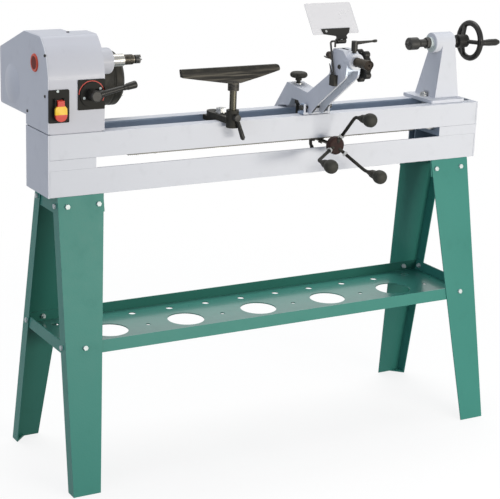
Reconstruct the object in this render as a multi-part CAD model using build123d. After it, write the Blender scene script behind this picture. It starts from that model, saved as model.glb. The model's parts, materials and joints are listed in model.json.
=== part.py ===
from build123d import *
from math import atan2, cos, degrees, pi, sin, sqrt
import os

# Duplicating wood lathe on a sheet metal stand, sizes in millimetres.
# X runs along the bed with the headstock at the low end, the front faces -Y, Z is up.
# The origin is on the floor under the middle of the whole machine's box;
# the pieces are drawn about the middle of the stand and then shifted there.

# Stand
LEG_HEIGHT = 819.0
SHEET = 3.0
LEG_INSET = 27.0
LEG_SPLAY_X = 18.0
LEG_SPLAY_Y = 154.0
LEG_TOP_WIDTH = 137.0
LEG_FOOT_WIDTH = 82.0
LEG_FLANGE = 38.0
FOOT_PLATE = 5.0
FOOT_HOLE = 9.0
BRACKET_DROP = 50.0
SHELF_HEIGHT = 386.0
SHELF_LIP = 34.0
SHELF_HOLE = 110.0
SHELF_PITCH = 248.0
SHELF_SMALL_HOLE = 14.0
SHELF_ROW_HOLE = 22.0
SHELF_ROW = 110.0
BOLT = 8.0
BOLT_FLATS = 13.0
BOLT_HEAD = 5.5
BOLT_LENGTH = 18.0
NUT_HEIGHT = 6.5
BOLT_DROP = 27.0
BOLT_EDGE = 27.0
BOLT_REACH = 120.0
FLANGE_BOLT = 20.0
SHELF_BOLT = 58.0
SHELF_FLANGE_BOLT = 27.0

# Bed
BED_LENGTH = 1434.0
BED_DEPTH = 158.0
RAIL_WIDTH = 36.0
RAIL_WALL = 5.0
UPPER_RAIL = 70.0
WINDOW = 29.0
LOWER_RAIL = 74.0
SPACER_LENGTH = 141.0
SPACER_WALL = 8.0
END_PLATE = 5.0
BED_BOLT_SPREAD = 66.0

# Rack under the front upper rail
RACK_START = 236.0
RACK_TEETH = 152
RACK_MODULE = 2.0
RACK_BACK = 3.0
RACK_INSET = 14.0
RACK_WIDTH = 14.0
RACK_FLANGE = 11.0

# Headstock
CENTRE_HEIGHT = 178.0
HEAD_LENGTH = 165.0
BELT_BOX = 108.0
HEAD_TOP = 257.0
HEAD_WALL = 7.0
HEAD_CORNER = 10.0
HEAD_FOOT_ROUND = 140.0
HEAD_KNEE_ROUND = 90.0
HEAD_TOP_ROUND = 20.0
HEAD_SEAM = 2.5
HEAD_SEAM_IN = 5.0
COVER = 4.0
BELT_REAR = 351.0
BELT_REAR_TOP = 188.0
BELT_REAR_BOTTOM = 29.0
HEAD_SLOPE_FOOT = 165.0
HEAD_KNEE_IN = 18.0
HEAD_KNEE = 220.0
HEAD_TOP_IN = 53.0
CAST_TOP_REAR = 128.0
CAST_KNEE = 205.0
DOME_RADIUS = 58.0
DOME_RISE = 8.0
PLUG_RADIUS = 25.0
PLUG_LIP = 4.0
PLUG_BACK = 11.0
PLUG_RISE = 3.5

# Spindle and drive
BOSS_RADIUS = 36.0
BOSS_LENGTH = 51.0
BOSS_ROUND = 9.0
SPINDLE_RADIUS = 17.0
SPINDLE_TAIL = 24.0
SPINDLE_SHOULDER = 38.0
NOSE_RADIUS = 12.7
NOSE_LENGTH = 33.0
BEARING_RADIUS = 30.0
BEARING_WIDTH = 16.0
TAPER_MOUTH = 8.8
TAPER_TIP = 7.4
TAPER_DEPTH = 56.0
SPUR_RADIUS = 12.0
SPUR_LENGTH = 21.0
SPUR_GAP = 2.0
MOTOR_RADIUS = 78.0
MOTOR_END = 318.0
MOTOR_BACK = 178.0
MOTOR_HEIGHT = 97.0
MOTOR_ROUND = 16.0
MOTOR_SHAFT = 8.0
SHEAVE_CENTRE = 64.0
SHEAVE_RIM = 4.0
SPINDLE_SHEAVE = 54.0
SPINDLE_BELT = 40.0
MOTOR_SHEAVE = 44.0
MOTOR_BELT = 28.0
BELT_THICK = 8.0
BELT_WIDE = 20.0
BELT_NARROW = 12.0
BELT_GAP = 0.35

# Switch and speed control
SWITCH_LEFT = 1.0
SWITCH_WIDTH = 59.0
SWITCH_BOTTOM = 33.0
SWITCH_HEIGHT = 89.0
SWITCH_PLATE = 4.0
SWITCH_WELL = 9.0
PADDLE_WIDTH = 34.0
PADDLE_NECK = 19.0
PADDLE_LENGTH = 54.0
PADDLE_THICK = 7.0
PADDLE_TOP = 93.0
PADDLE_PIN = 1.5
PADDLE_SHOULDER = 10.0
WELL_WALL = 5.0
WELL_DROP = 40.0
WELL_RISE = 6.0
SPEED_X = 125.0
SPEED_Z = 104.0
SPEED_PLATE_LEFT = 86.0
SPEED_PLATE_WIDTH = 78.0
SPEED_PLATE_BOTTOM = 63.0
SPEED_PLATE_HEIGHT = 82.0
SPEED_PLATE = 3.0
SPEED_DIAL = 34.0
SPEED_DIAL_HEIGHT = 4.0
SPEED_HUB = 16.0
SPEED_HUB_HEIGHT = 32.0
SPEED_SHAFT = 6.0
SPEED_SHAFT_LENGTH = 40.0
SPEED_ARM_RADIUS = 6.5
SPEED_ARM_LENGTH = 86.0
SPEED_GRIP_LENGTH = 38.0
SPEED_GRIP_RADIUS = 10.5
SPEED_TILT = 11.5

# Tool rest
REST_X = 548.0
REST_OUT = 24.0
REST_TURN = 0.0
REST_BOSS = 18.0
REST_BOSS_TOP = 38.0
REST_BOSS_DROP = 12.0
REST_RIB = 12.0
REST_RIB_REACH = 14.0
REST_RIB_DROP = 4.0
REST_ARM_THICK = 17.0
REST_ARM_LENGTH = 104.0
REST_ARM_WIDTH = 40.0
REST_ARM_END = 24.0
REST_SLOT = 8.0
REST_SLOT_START = 46.0
REST_SLOT_END = 92.0
REST_CLAMP = 68.0
REST_POST = 10.0
REST_POST_LENGTH = 100.0
REST_COLLAR = 16.0
REST_FLARE = 2.0
REST_COLLAR_BOTTOM = 93.0
REST_COLLAR_TOP = 117.0
REST_TOP = 158.0
REST_LEFT = 162.0
REST_RIGHT = 151.0
REST_LEFT_HEIGHT = 21.0
REST_RIGHT_HEIGHT = 15.0
REST_RIGHT_ROUND = 7.0
REST_THICK = 9.0
REST_LEDGE = 26.0
LOCK_RISE = 19.0
LOCK_LENGTH = 67.0
LOCK_SCREW = 5.0
LOCK_HUB = 9.0
LOCK_HUB_LENGTH = 13.0
LOCK_ARM = 4.0
LOCK_ARM_END = 6.0
LOCK_TILT = -70.0
GUIDE_DEPTH = 14.0
GUIDE_LENGTH = 34.0

# Clamping under the rails
CLAMP_PLATE = 11.0
CLAMP_FRONT = 30.5
CLAMP_LENGTH = 44.0
CLAMP_BOLT = 6.0
CLAMP_NUT_FLATS = 27.0
CLAMP_NUT = 12.0
CLAMP_END = 10.0
CLAMP_ROOM = 15.0

# Copy carriage
CARRIAGE_X = 838.0
ARM_HALF = 23.0
SADDLE_HALF = 30.0
SADDLE_OVERHANG = 39.0
SADDLE_CREST_IN = 38.0
SADDLE_CREST = 78.0
SADDLE_LIFT = 2.0
SADDLE_DROP = 22.0
SADDLE_LEG_GAP = 5.0
SADDLE_PAD = 12.0
SADDLE_PAD_IN = 8.0
VALLEY_IN = 11.0
VALLEY = 64.0
ELBOW_OUT = 101.0
ELBOW = 138.0
HEAD_REAR_OUT = 113.0
HEAD_CAP = 213.0
HEAD_CAP_OUT = 165.0
HEAD_FRONT_OUT = 190.0
HEAD_FRONT_TOP = 192.0
CHIN_OUT = 184.0
CHIN = 139.0
HEEL_OUT = 50.0
HEEL = 42.0
TOE_OUT = 16.0
TOE = 10.0
TOE_FOOT_IN = 2.0
ARCH_FRONT_IN = 46.0
ARCH_REAR_IN = 53.0
ARCH = 34.0
ARCH_ROUND = 12.0
ARCH_SHOULDER = 12.0
HEAD_ROUND = 9.0
KNEE_ROUND = 14.0
CHANNEL_WALL = 6.0
CHANNEL_DEPTH = 24.0
CHANNEL_TOP = 18.0
CHANNEL_END_IN = 5.0
BAR_BOSS = 24.0
BAR_BOSS_FRONT = 13.0
BAR_BOSS_LENGTH = 33.0
ROLLER_SPREAD = 16.0
ROLLER_RADIUS = 9.0
ROLLER_WIDTH = 14.0
ROLLER_AXLE = 4.0
ROLLER_INSET = 12.0
ROLLER_STUB = 6.0
EAR_LEFT = 33.0
EAR_RIGHT = 50.0
EAR_THICK = 7.0
EAR_DEPTH = 18.0
EAR_TOP = 33.0
EAR_PLATE = 8.0
EAR_PLATE_DEPTH = 32.0
PIN_RADIUS = 5.0
PIN_HEAD = 8.0
PIN_HEAD_LENGTH = 7.0
PIN_IN = 8.0
PIN_HEIGHT = 22.0
SADDLE_KNOB_IN = 58.0
SADDLE_KNOB = 26.0
SADDLE_KNOB_THICK = 18.5
SADDLE_KNOB_LIFT = 21.0
SADDLE_KNOB_STEM = 9.5
SADDLE_KNOB_LOBES = 8
SADDLE_KNOB_SCALLOP = 7.0
SADDLE_KNOB_CUT = 2.5
SADDLE_SEAT = 13.0
SADDLE_SEAT_DROP = 6.0
SADDLE_SCREW = 5.0

# Carriage drive
PINION_TEETH = 8
PINION_OFFSET = 38.0
PINION_WIDTH = 13.0
SHAFT_RADIUS = 5.0
SHAFT_COLLAR = 9.0
SHAFT_TAIL = 6.0
HUNG_BRACKET = 20.0
HUNG_GAP = 23.0
HUNG_DEPTH = 24.0
HUB_RADIUS = 26.0
HUB_THICK = 22.0
HUB_OUT = 45.0
HANDLE_RADIUS = 4.0
HANDLE_BEND_R = 96.0
HANDLE_BEND_OUT = 60.0
HANDLE_KNOB_R = 100.0
HANDLE_KNOB_OUT = 117.0
HANDLE_ROUND = 18.0
HANDLE_START = 75.0
HANDLE_NUT = 13.0
HANDLE_NUT_HEIGHT = 6.0
HANDLE_NUT_OUT = 9.0
KNOB_RADIUS = 20.0
KNOB_NECK = 11.0
KNOB_MOUTH = 7.0
KNOB_SOCKET = 12.0
KNOB_LENGTH = 36.0

# Cutter slide
BAR_HEIGHT = 185.0
BAR_RADIUS = 13.3
BAR_CAP = 14.5
BAR_CAP_LENGTH = 13.0
BAR_FRONT_OUT = 264.0
BAR_REAR_OUT = 78.0
NOSE_END_OUT = 55.0
CUTTER_TIP_OUT = 33.0
CUTTER_HALF = 8.0
CUTTER_THICK = 3.0
CUTTER_SEAT = 12.0
BAR_BORE = 2.0
BAR_BORE_DEPTH = 14.0
FEED_TEETH = 12
FEED_PITCH_RADIUS = 8.0
FEED_TOOTH = 2.2
FEED_FLAT = 9.0
FEED_OUT = 169.0
FEED_SHAFT = 5.0
FEED_FACE = 14.0
FEED_RACK_FRONT = 52.0
FEED_RACK_REAR = 42.0
STAR_RADIUS = 37.0
STAR_LOBE = 10.0
STAR_LOBES = 7
STAR_THICK = 18.0
STAR_OUT = 9.0
STAR_HUB = 17.0
LEVER_STUD = 6.0
LEVER_HUB = 9.0
LEVER_BASE = 214.0
LEVER_TOP = 242.0
LEVER_LENGTH = 67.0
LEVER_TURN = -12.0
LEVER_RISE = 5.0
LEVER_ROOT = 6.0
LEVER_TIP = 4.4

# Guard over the cutter
SHIELD_WIDTH = 153.0
SHIELD_HEIGHT = 98.0
SHIELD_THICK = 3.0
SHIELD_LEAN = 36.0
SHIELD_BOTTOM = 18.0
STRIP_WIDTH = 95.0
STRIP_HEIGHT = 24.0
STRIP_THICK = 4.0
GUARD_ROD = 2.8
GUARD_OUT = 109.5
GUARD_FOOT_OUT = 137.0
GUARD_FOOT = 12.0
GUARD_HINGE = 231.0
GUARD_ROUND = 6.0
GUARD_SPAN = 50.0
GUARD_LEG_IN = 16.0
GUARD_LEG = 17.0
SHIELD_SHIFT = 20.0
GUARD_EAR_SHIFT = 14.0
GUARD_EAR = 29.0
GUARD_EYE = 5.0
STRIP_DROP = 9.0
SHIELD_CORNER = 5.0
ROD_BLOCK_WIDTH = 14.0
ROD_BLOCK_BOTTOM = 110.0
ROD_BLOCK_TOP = 140.0
ROD_BLOCK_FRONT_OUT = 145.0
ROD_BLOCK_REAR_OUT = 120.0
BLADE_TIP = 169.0
BLADE_LEAN = 11.0
BLADE_SEAT = 14.0
BLADE_THICK = 2.0
BLADE_WIDTH = 6.0

# Tailstock
TAIL_GAP = 40.0
TAIL_BASE_LENGTH = 124.0
TAIL_BASE_FRONT = 62.0
TAIL_BASE_REAR = 92.0
TAIL_BASE = 10.0
TAIL_FOOT_START = 34.0
TAIL_FOOT_LENGTH = 89.0
TAIL_FOOT_FRONT = 30.0
TAIL_FOOT_REAR = 76.0
TAIL_NECK_START = 51.0
TAIL_NECK_LENGTH = 44.0
TAIL_WALL = 11.0
TAIL_CEILING = 40.0
TAIL_NUT_ROOM = 15.0
TAIL_NUT_HEIGHT = 17.0
TAIL_NUT_FLATS = 22.0
TAIL_NUT = 9.0
BARREL_RADIUS = 31.0
BARREL_START = 27.0
BARREL_LENGTH = 72.0
BARREL_COLLAR = 17.0
BARREL_COLLAR_LENGTH = 10.0
QUILL_NUT_FLATS = 30.0
QUILL_NUT = 12.0
TAIL_BOLT_X = 26.0
TAIL_BOLT_Y = 18.0
TAIL_CLAMP_LENGTH = 30.0
QUILL_RADIUS = 12.0
QUILL_OUT = 35.0
QUILL_LENGTH = 100.0
QUILL_SCREW = 6.0
SCREW_LENGTH = 74.0
CENTRE_RADIUS = 19.0
CENTRE_LENGTH = 40.0
CENTRE_TIP = 13.0
WHEEL_RADIUS = 63.0
WHEEL_RIM = 9.0
WHEEL_HUB = 20.0
WHEEL_HUB_LENGTH = 40.0
WHEEL_NECK = 12.0
WHEEL_NECK_LENGTH = 22.0
WHEEL_SPOKE = 6.5
WHEEL_DISH = 14.0
WHEEL_TURN = 90.0
RIM_SIDES = 12
GRIP_RADIUS = 10.5
GRIP_LENGTH = 58.0
GRIP_PIN = 4.0

# Fits
FIT = 0.05
SLIDE = 0.2
CLEAR = 0.5

X_LEFT = -BED_LENGTH / 2
X_RIGHT = BED_LENGTH / 2
Y_FRONT = -BED_DEPTH / 2
Y_REAR = BED_DEPTH / 2
BED_TOP = LEG_HEIGHT + LOWER_RAIL + WINDOW + UPPER_RAIL
WINDOW_TOP = BED_TOP - UPPER_RAIL
WINDOW_BOTTOM = LEG_HEIGHT + LOWER_RAIL
AXIS = BED_TOP + CENTRE_HEIGHT
CX = X_LEFT + CARRIAGE_X
TX = X_RIGHT - TAIL_GAP - TAIL_BASE_LENGTH
MOTOR_Z = BED_TOP + MOTOR_HEIGHT
PINION_X = CX + PINION_OFFSET
PINION_Z = WINDOW_TOP - RACK_BACK - RACK_MODULE * (1 + PINION_TEETH / 2)
BAR_Z = BED_TOP + BAR_HEIGHT
FEED_Z = BAR_Z - FEED_FLAT + FEED_TOOTH / 2 - FEED_PITCH_RADIUS
SADDLE_REAR = Y_REAR + SADDLE_OVERHANG
SADDLE_LEG_Y = Y_REAR + SADDLE_LEG_GAP
SADDLE_CREST_Y = Y_REAR - SADDLE_CREST_IN
SADDLE_KNOB_Y = Y_REAR - SADDLE_KNOB_IN
ARCH_REAR_Y = Y_REAR - ARCH_REAR_IN
ARCH_FRONT_Y = Y_FRONT + ARCH_FRONT_IN
VALLEY_Y = Y_FRONT + VALLEY_IN
ELBOW_Y = Y_FRONT - ELBOW_OUT
HEAD_REAR_Y = Y_FRONT - HEAD_REAR_OUT
HEAD_CAP_FRONT_Y = Y_FRONT - HEAD_CAP_OUT
HEAD_FRONT_Y = Y_FRONT - HEAD_FRONT_OUT
CHIN_Y = Y_FRONT - CHIN_OUT
HEEL_Y = Y_FRONT - HEEL_OUT
TOE_Y = Y_FRONT - TOE_OUT
TOE_FOOT_Y = Y_FRONT + TOE_FOOT_IN
HUNG_FRONT_Y = Y_FRONT + RAIL_WIDTH + HUNG_GAP
BAR_FRONT_Y = Y_FRONT - BAR_FRONT_OUT
BAR_REAR_Y = Y_FRONT - BAR_REAR_OUT
NOSE_END_Y = Y_FRONT - NOSE_END_OUT
CUTTER_TIP_Y = Y_FRONT - CUTTER_TIP_OUT
FEED_Y = Y_FRONT - FEED_OUT
GUARD_Y = Y_FRONT - GUARD_OUT
GUARD_FOOT_Y = Y_FRONT - GUARD_FOOT_OUT
ROD_BLOCK_FRONT_Y = Y_FRONT - ROD_BLOCK_FRONT_OUT
ROD_BLOCK_REAR_Y = Y_FRONT - ROD_BLOCK_REAR_OUT


# Shapes used by many pieces
def block(x0, x1, y0, y1, z0, z1):
    return Pos((x0 + x1) / 2, (y0 + y1) / 2, (z0 + z1) / 2) * Box(x1 - x0, y1 - y0, z1 - z0)


def rod_x(radius, x0, x1, y, z):
    return Pos((x0 + x1) / 2, y, z) * Rot(0, 90, 0) * Cylinder(radius, x1 - x0)


def rod_y(radius, y0, y1, x, z):
    return Pos(x, (y0 + y1) / 2, z) * Rot(90, 0, 0) * Cylinder(radius, y1 - y0)


def rod_z(radius, z0, z1, x, y):
    return Pos(x, y, (z0 + z1) / 2) * Cylinder(radius, z1 - z0)


def outline(points):
    return make_face(Polyline(*points, close=True))


def prism_x(face, x0, x1):
    return extrude(Plane.YZ.offset(x0) * face, amount=x1 - x0)


def prism_y(face, y0, y1):
    return extrude(Plane.XZ.offset(-y1) * face, amount=y1 - y0)


def prism_z(face, z0, z1):
    return extrude(Plane.XY.offset(z0) * face, amount=z1 - z0)


def ruled(low, z0, high, z1):
    return loft([Plane.XY.offset(z0) * outline(low), Plane.XY.offset(z1) * outline(high)], ruled=True)


def rectangle(x0, x1, y0, y1):
    return [(x0, y0), (x1, y0), (x1, y1), (x0, y1)]


def turned_x(points, y, z):
    # a turned piece: points are (place along X, radius)
    face = outline(points)
    return Pos(0, y, z) * revolve(face, axis=Axis.X)


def hexagon(flats, height):
    return extrude(RegularPolygon(flats / 2, 6, major_radius=False), amount=height)


def lobed(radius, lobe, count):
    # plan of a hand knob with round lobes
    plan = Circle(radius)
    for k in range(count):
        plan += Rot(0, 0, 360 * k / count) * Pos(radius, 0) * Circle(lobe)
    return plan


def mirrored(shape, left, front):
    if left:
        shape = mirror(shape, about=Plane.YZ)
    if front:
        shape = mirror(shape, about=Plane.XZ)
    return shape


# Stand
CORNERS = {"rear_right": (False, False), "rear_left": (True, False),
           "front_right": (False, True), "front_left": (True, True)}
TILT_X = atan2(LEG_SPLAY_X, LEG_HEIGHT)
TILT_Y = atan2(LEG_SPLAY_Y, LEG_HEIGHT)


def leg_corner(z):
    # outer corner of the rear right leg at a height
    drop = (LEG_HEIGHT - z) / LEG_HEIGHT
    return BED_LENGTH / 2 - LEG_INSET + LEG_SPLAY_X * drop, BED_DEPTH / 2 + LEG_SPLAY_Y * drop


def face_plane(edge, z):
    x, y = leg_corner(z)
    return Plane(origin=(x - edge, y, z), x_dir=(1, 0, 0), z_dir=(0, cos(TILT_Y), sin(TILT_Y)))


def flange_plane(edge, z):
    x, y = leg_corner(z)
    return Plane(origin=(x, y - edge, z), x_dir=(0, 1, 0), z_dir=(cos(TILT_X), 0, sin(TILT_X)))


def top_bolts():
    z = LEG_HEIGHT - BOLT_DROP
    return [(face_plane(BOLT_EDGE, z), TILT_Y), (face_plane(BOLT_REACH, z), TILT_Y),
            (flange_plane(FLANGE_BOLT, z), TILT_X)]


def shelf_bolts():
    z = SHELF_HEIGHT + SHELF_LIP * 0.6
    return [(face_plane(SHELF_BOLT, z), TILT_Y), (flange_plane(SHELF_FLANGE_BOLT, z), TILT_X)]


def leg_section(z):
    x, y = leg_corner(z)
    width = LEG_FOOT_WIDTH + (LEG_TOP_WIDTH - LEG_FOOT_WIDTH) * z / LEG_HEIGHT
    return [(x, y), (x - width, y), (x - width, y - SHEET), (x - SHEET, y - SHEET),
            (x - SHEET, y - LEG_FLANGE), (x, y - LEG_FLANGE)]


def leg():
    x, y = leg_corner(0)
    body = ruled(leg_section(0), 0, leg_section(LEG_HEIGHT), LEG_HEIGHT)
    inner = SHEET / 2
    foot = outline([(x - inner, y - inner), (x - LEG_FLANGE, y - inner), (x - inner, y - LEG_FLANGE)])
    body += prism_z(foot, 0, FOOT_PLATE)
    hole = SHEET + LEG_FLANGE * 0.26
    body -= rod_z(FOOT_HOLE / 2, -1, FOOT_PLATE + 1, x - hole, y - hole)
    for plane, tilt in top_bolts() + shelf_bolts():
        body -= plane * Cylinder(BOLT / 2 + CLEAR, 6 * SHEET)
    return body


def stand_bracket():
    low = LEG_HEIGHT - BRACKET_DROP
    high = LEG_HEIGHT
    inner_x = leg_corner(high)[0] - LEG_TOP_WIDTH

    def section(z, wall, reach):
        x, y = leg_corner(z)
        return rectangle(inner_x - reach, x - wall, -(y - wall), y - wall)

    body = ruled(section(low, SHEET, 0), low, section(high, SHEET, 0), high)
    body -= ruled(section(low - 5, 2 * SHEET, 5), low - 5, section(high - SHEET, 2 * SHEET, 5), high - SHEET)
    for plane, tilt in top_bolts():
        for front in (False, True):
            body -= mirrored(plane * Cylinder(BOLT / 2 + CLEAR, 6 * SHEET), False, front)
    for x, y in bed_bolt_places():
        if x > 0:
            body -= rod_z(BOLT / 2 + CLEAR, high - 2 * SHEET, high + 1, x, y)
    return body


def stand_brackets():
    right = stand_bracket()
    return [right, mirror(right, about=Plane.YZ)]


def shelf():
    def section(z, wall):
        x, y = leg_corner(z)
        return rectangle(-(x - wall), x - wall, -(y - wall), y - wall)

    low = SHELF_HEIGHT
    high = SHELF_HEIGHT + SHELF_LIP
    body = ruled(section(low, SHEET), low, section(high, SHEET), high)
    body -= ruled(section(low + SHEET, 2 * SHEET), low + SHEET, section(high + 5, 2 * SHEET), high + 5)
    holes = []
    for k in range(-2, 3):
        holes.append((SHELF_HOLE / 2, k * SHELF_PITCH, 0))
    for k in range(-3, 3):
        holes.append((SHELF_SMALL_HOLE / 2, (k + 0.5) * SHELF_PITCH, 0))
    for k in range(-5, 6):
        for y in (-SHELF_ROW, SHELF_ROW):
            holes.append((SHELF_ROW_HOLE / 2, k * SHELF_PITCH / 2, y))
    cutters = [rod_z(r, low - 1, low + SHEET + 1, x, y) for r, x, y in holes]
    body -= cutters
    for plane, tilt in shelf_bolts():
        cut = plane * Cylinder(BOLT / 2 + CLEAR, 6 * SHEET)
        body -= [mirrored(cut, left, front) for left, front in CORNERS.values()]
    return body


def bed_bolt_places():
    middle = X_RIGHT - LEG_INSET - LEG_TOP_WIDTH / 2
    y = Y_REAR - RAIL_WIDTH / 2
    return [(side * (middle + k * BED_BOLT_SPREAD / 2), row * y)
            for side in (-1, 1) for k in (-1, 1) for row in (-1, 1)]


def stand_fasteners():
    pieces = []
    for plane, tilt in top_bolts() + shelf_bolts():
        grip = 2 * SHEET * cos(tilt)
        bolt = plane * hexagon(BOLT_FLATS, BOLT_HEAD)
        bolt += plane * Pos(0, 0, -BOLT_LENGTH / 2) * Cylinder(BOLT / 2, BOLT_LENGTH)
        nut = hexagon(BOLT_FLATS, NUT_HEIGHT)
        nut -= Pos(0, 0, NUT_HEIGHT / 2) * Cylinder(BOLT / 2 + FIT, NUT_HEIGHT)
        nut = plane * Pos(0, 0, -grip - NUT_HEIGHT) * nut
        for left, front in CORNERS.values():
            pieces += [mirrored(bolt, left, front), mirrored(nut, left, front)]
    for x, y in bed_bolt_places():
        top = LEG_HEIGHT + RAIL_WALL
        bolt = Pos(x, y, LEG_HEIGHT - SHEET - BOLT_HEAD) * hexagon(BOLT_FLATS, BOLT_HEAD)
        pieces.append(bolt + rod_z(BOLT / 2, LEG_HEIGHT - SHEET - 1, top, x, y))
    return pieces


# Bed
def rail(front, upper):
    y0 = Y_FRONT if front else Y_REAR - RAIL_WIDTH
    y1 = y0 + RAIL_WIDTH
    z0, z1 = (WINDOW_TOP, BED_TOP) if upper else (LEG_HEIGHT, WINDOW_BOTTOM)
    x0 = X_LEFT + END_PLATE
    x1 = X_RIGHT - END_PLATE
    body = block(x0, x1, y0, y1, z0, z1)
    body -= block(x0 - 1, x1 + 1, y0 + RAIL_WALL, y1 - RAIL_WALL, z0 + RAIL_WALL, z1 - RAIL_WALL)
    if not upper:
        for x, y in bed_bolt_places():
            if y0 < y < y1:
                body -= rod_z(BOLT / 2 + FIT, z0 - 1, z0 + RAIL_WALL + 1, x, y)
    return body


def bed_end(left):
    # end plate with the hollow spacer between the upper rails and the lower front rail
    body = block(X_RIGHT - SPACER_LENGTH, X_RIGHT, Y_FRONT, Y_REAR, WINDOW_BOTTOM, WINDOW_TOP)
    body -= block(X_RIGHT - SPACER_LENGTH + SPACER_WALL, X_RIGHT - END_PLATE, Y_FRONT + SPACER_WALL,
                  Y_REAR - SPACER_WALL, WINDOW_BOTTOM - 1, WINDOW_TOP + 1)
    # notch that lets a clamp bar run in under the rails
    body -= block(X_RIGHT - SPACER_LENGTH - 1, X_RIGHT - SPACER_LENGTH + SPACER_WALL + 1,
                  Y_FRONT + CLAMP_FRONT - 1, Y_REAR - SPACER_WALL, WINDOW_TOP - CLAMP_ROOM, WINDOW_TOP + 1)
    body += block(X_RIGHT - END_PLATE, X_RIGHT, Y_FRONT, Y_REAR, LEG_HEIGHT, BED_TOP)
    # hollow foot under the rear of the spacer
    y0 = Y_REAR - RAIL_WIDTH
    x0 = X_RIGHT - SPACER_LENGTH
    foot = block(x0, X_RIGHT, y0, Y_REAR, LEG_HEIGHT, WINDOW_BOTTOM + 1)
    foot -= block(x0 - 1, X_RIGHT - END_PLATE, y0 + RAIL_WALL, Y_REAR - RAIL_WALL,
                  LEG_HEIGHT + RAIL_WALL, WINDOW_BOTTOM + 2)
    for x, y in bed_bolt_places():
        if x > 0 and y > 0:
            foot -= rod_z(BOLT / 2 + FIT, LEG_HEIGHT - 1, LEG_HEIGHT + RAIL_WALL + 1, x, y)
    return mirrored(body + foot, left, False)


def feed_rack():
    pitch = pi * RACK_MODULE
    tip = WINDOW_TOP - RACK_BACK - 2 * RACK_MODULE
    root = WINDOW_TOP - RACK_BACK
    # one gap of the rack stands over the pinion axis
    count_left = int((PINION_X - X_LEFT - RACK_START) / pitch)
    start = PINION_X - count_left * pitch
    points = [(start, WINDOW_TOP), (start, root)]
    for k in range(RACK_TEETH):
        points.append((start + (k + 0.5) * pitch, tip))
        points.append((start + (k + 1) * pitch, root))
    points.append((start + RACK_TEETH * pitch, WINDOW_TOP))
    front = Y_FRONT + RACK_INSET
    body = prism_y(outline(points), front, front + RACK_WIDTH)
    body += block(start, start + RACK_TEETH * pitch, front - RACK_FLANGE, front, root, WINDOW_TOP)
    return body


# Headstock
def head_point(y, z):
    return Y_FRONT + y, BED_TOP + z


def head_front():
    # flat front that curves back to the top, with a gap over the bed
    return [(0, HEAD_SEAM), (0, HEAD_SLOPE_FOOT), (HEAD_KNEE_IN, HEAD_KNEE), (HEAD_TOP_IN, HEAD_TOP)]


def head_rounds(face):
    for (y, z), radius in zip(head_front()[1:], (HEAD_FOOT_ROUND, HEAD_KNEE_ROUND, HEAD_TOP_ROUND)):
        place = head_point(y, z)
        corner = [v for v in face.vertices() if abs(v.X - place[0]) < 0.5 and abs(v.Y - place[1]) < 0.5]
        face = fillet(corner, radius)
    return face


def belt_profile():
    rear = [(BED_DEPTH + 9, HEAD_TOP), (BELT_REAR, BELT_REAR_TOP), (BELT_REAR, BELT_REAR_BOTTOM),
            (BED_DEPTH, BELT_REAR_BOTTOM), (BED_DEPTH, HEAD_SEAM)]
    face = outline([head_point(y, z) for y, z in head_front() + rear])
    places = [head_point(y, z) for y, z in rear[:3]]
    corners = [v for v in face.vertices() if any(abs(v.X - y) + abs(v.Y - z) < 1 for y, z in places)]
    return head_rounds(fillet(corners, HEAD_CORNER))


def cast_profile():
    rear = [(CAST_TOP_REAR, HEAD_TOP), (BED_DEPTH, CAST_KNEE), (BED_DEPTH, HEAD_SEAM)]
    face = outline([head_point(y, z) for y, z in head_front() + rear])
    places = [head_point(y, z) for y, z in rear[:2]]
    corners = [v for v in face.vertices() if any(abs(v.X - y) + abs(v.Y - z) < 1 for y, z in places)]
    return head_rounds(fillet(corners, HEAD_CORNER))


def headstock_housing():
    x0 = X_LEFT + COVER
    x1 = X_LEFT + BELT_BOX
    x2 = X_LEFT + HEAD_LENGTH
    x3 = x2 + BOSS_LENGTH
    body = prism_x(belt_profile(), x0, x1) + prism_x(cast_profile(), x0, x2)
    # foot set back from the sides
    body += block(x0 + HEAD_SEAM_IN, x2 - HEAD_SEAM_IN, Y_FRONT + HEAD_SEAM_IN, Y_REAR - HEAD_SEAM_IN,
                  BED_TOP, BED_TOP + HEAD_WALL)
    # room for the drive
    body -= prism_x(offset(belt_profile(), amount=-HEAD_WALL, kind=Kind.INTERSECTION), x0 - 1, x1 - HEAD_WALL)
    # nose with the front bearing
    boss = rod_x(BOSS_RADIUS, x2 - 2, x3, 0, AXIS)
    rim = boss.edges().filter_by(GeomType.CIRCLE).sort_by(Axis.X)[-1]
    body += fillet(rim, BOSS_ROUND)
    body -= rod_x(SPINDLE_RADIUS + 2, x1 - HEAD_WALL - 1, x3 + 1, 0, AXIS)
    for place in bearing_places():
        body -= rod_x(BEARING_RADIUS + FIT, place, place + BEARING_WIDTH, 0, AXIS)
    body -= rod_x(BEARING_RADIUS + FIT, x1 - HEAD_WALL - 1, x1, 0, AXIS)
    # openings for the motor shaft and for the speed shaft
    body -= rod_x(MOTOR_SHAFT + 8, x1 - HEAD_WALL - 1, x1 + 1, MOTOR_BACK, MOTOR_Z)
    body -= rod_y(SPEED_SHAFT + FIT, Y_FRONT - 1, Y_FRONT + SPEED_SHAFT_LENGTH + 1,
                  speed_shaft_x(), BED_TOP + SPEED_Z)
    return body


def bearing_places():
    inner = X_LEFT + BELT_BOX - HEAD_WALL
    outer = X_LEFT + HEAD_LENGTH + BOSS_LENGTH - BOSS_ROUND - BEARING_WIDTH
    return [inner, outer]


def spindle_bearings():
    return [rod_x(BEARING_RADIUS, x, x + BEARING_WIDTH, 0, AXIS)
            - rod_x(SPINDLE_RADIUS + FIT, x - 1, x + BEARING_WIDTH + 1, 0, AXIS) for x in bearing_places()]


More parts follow.
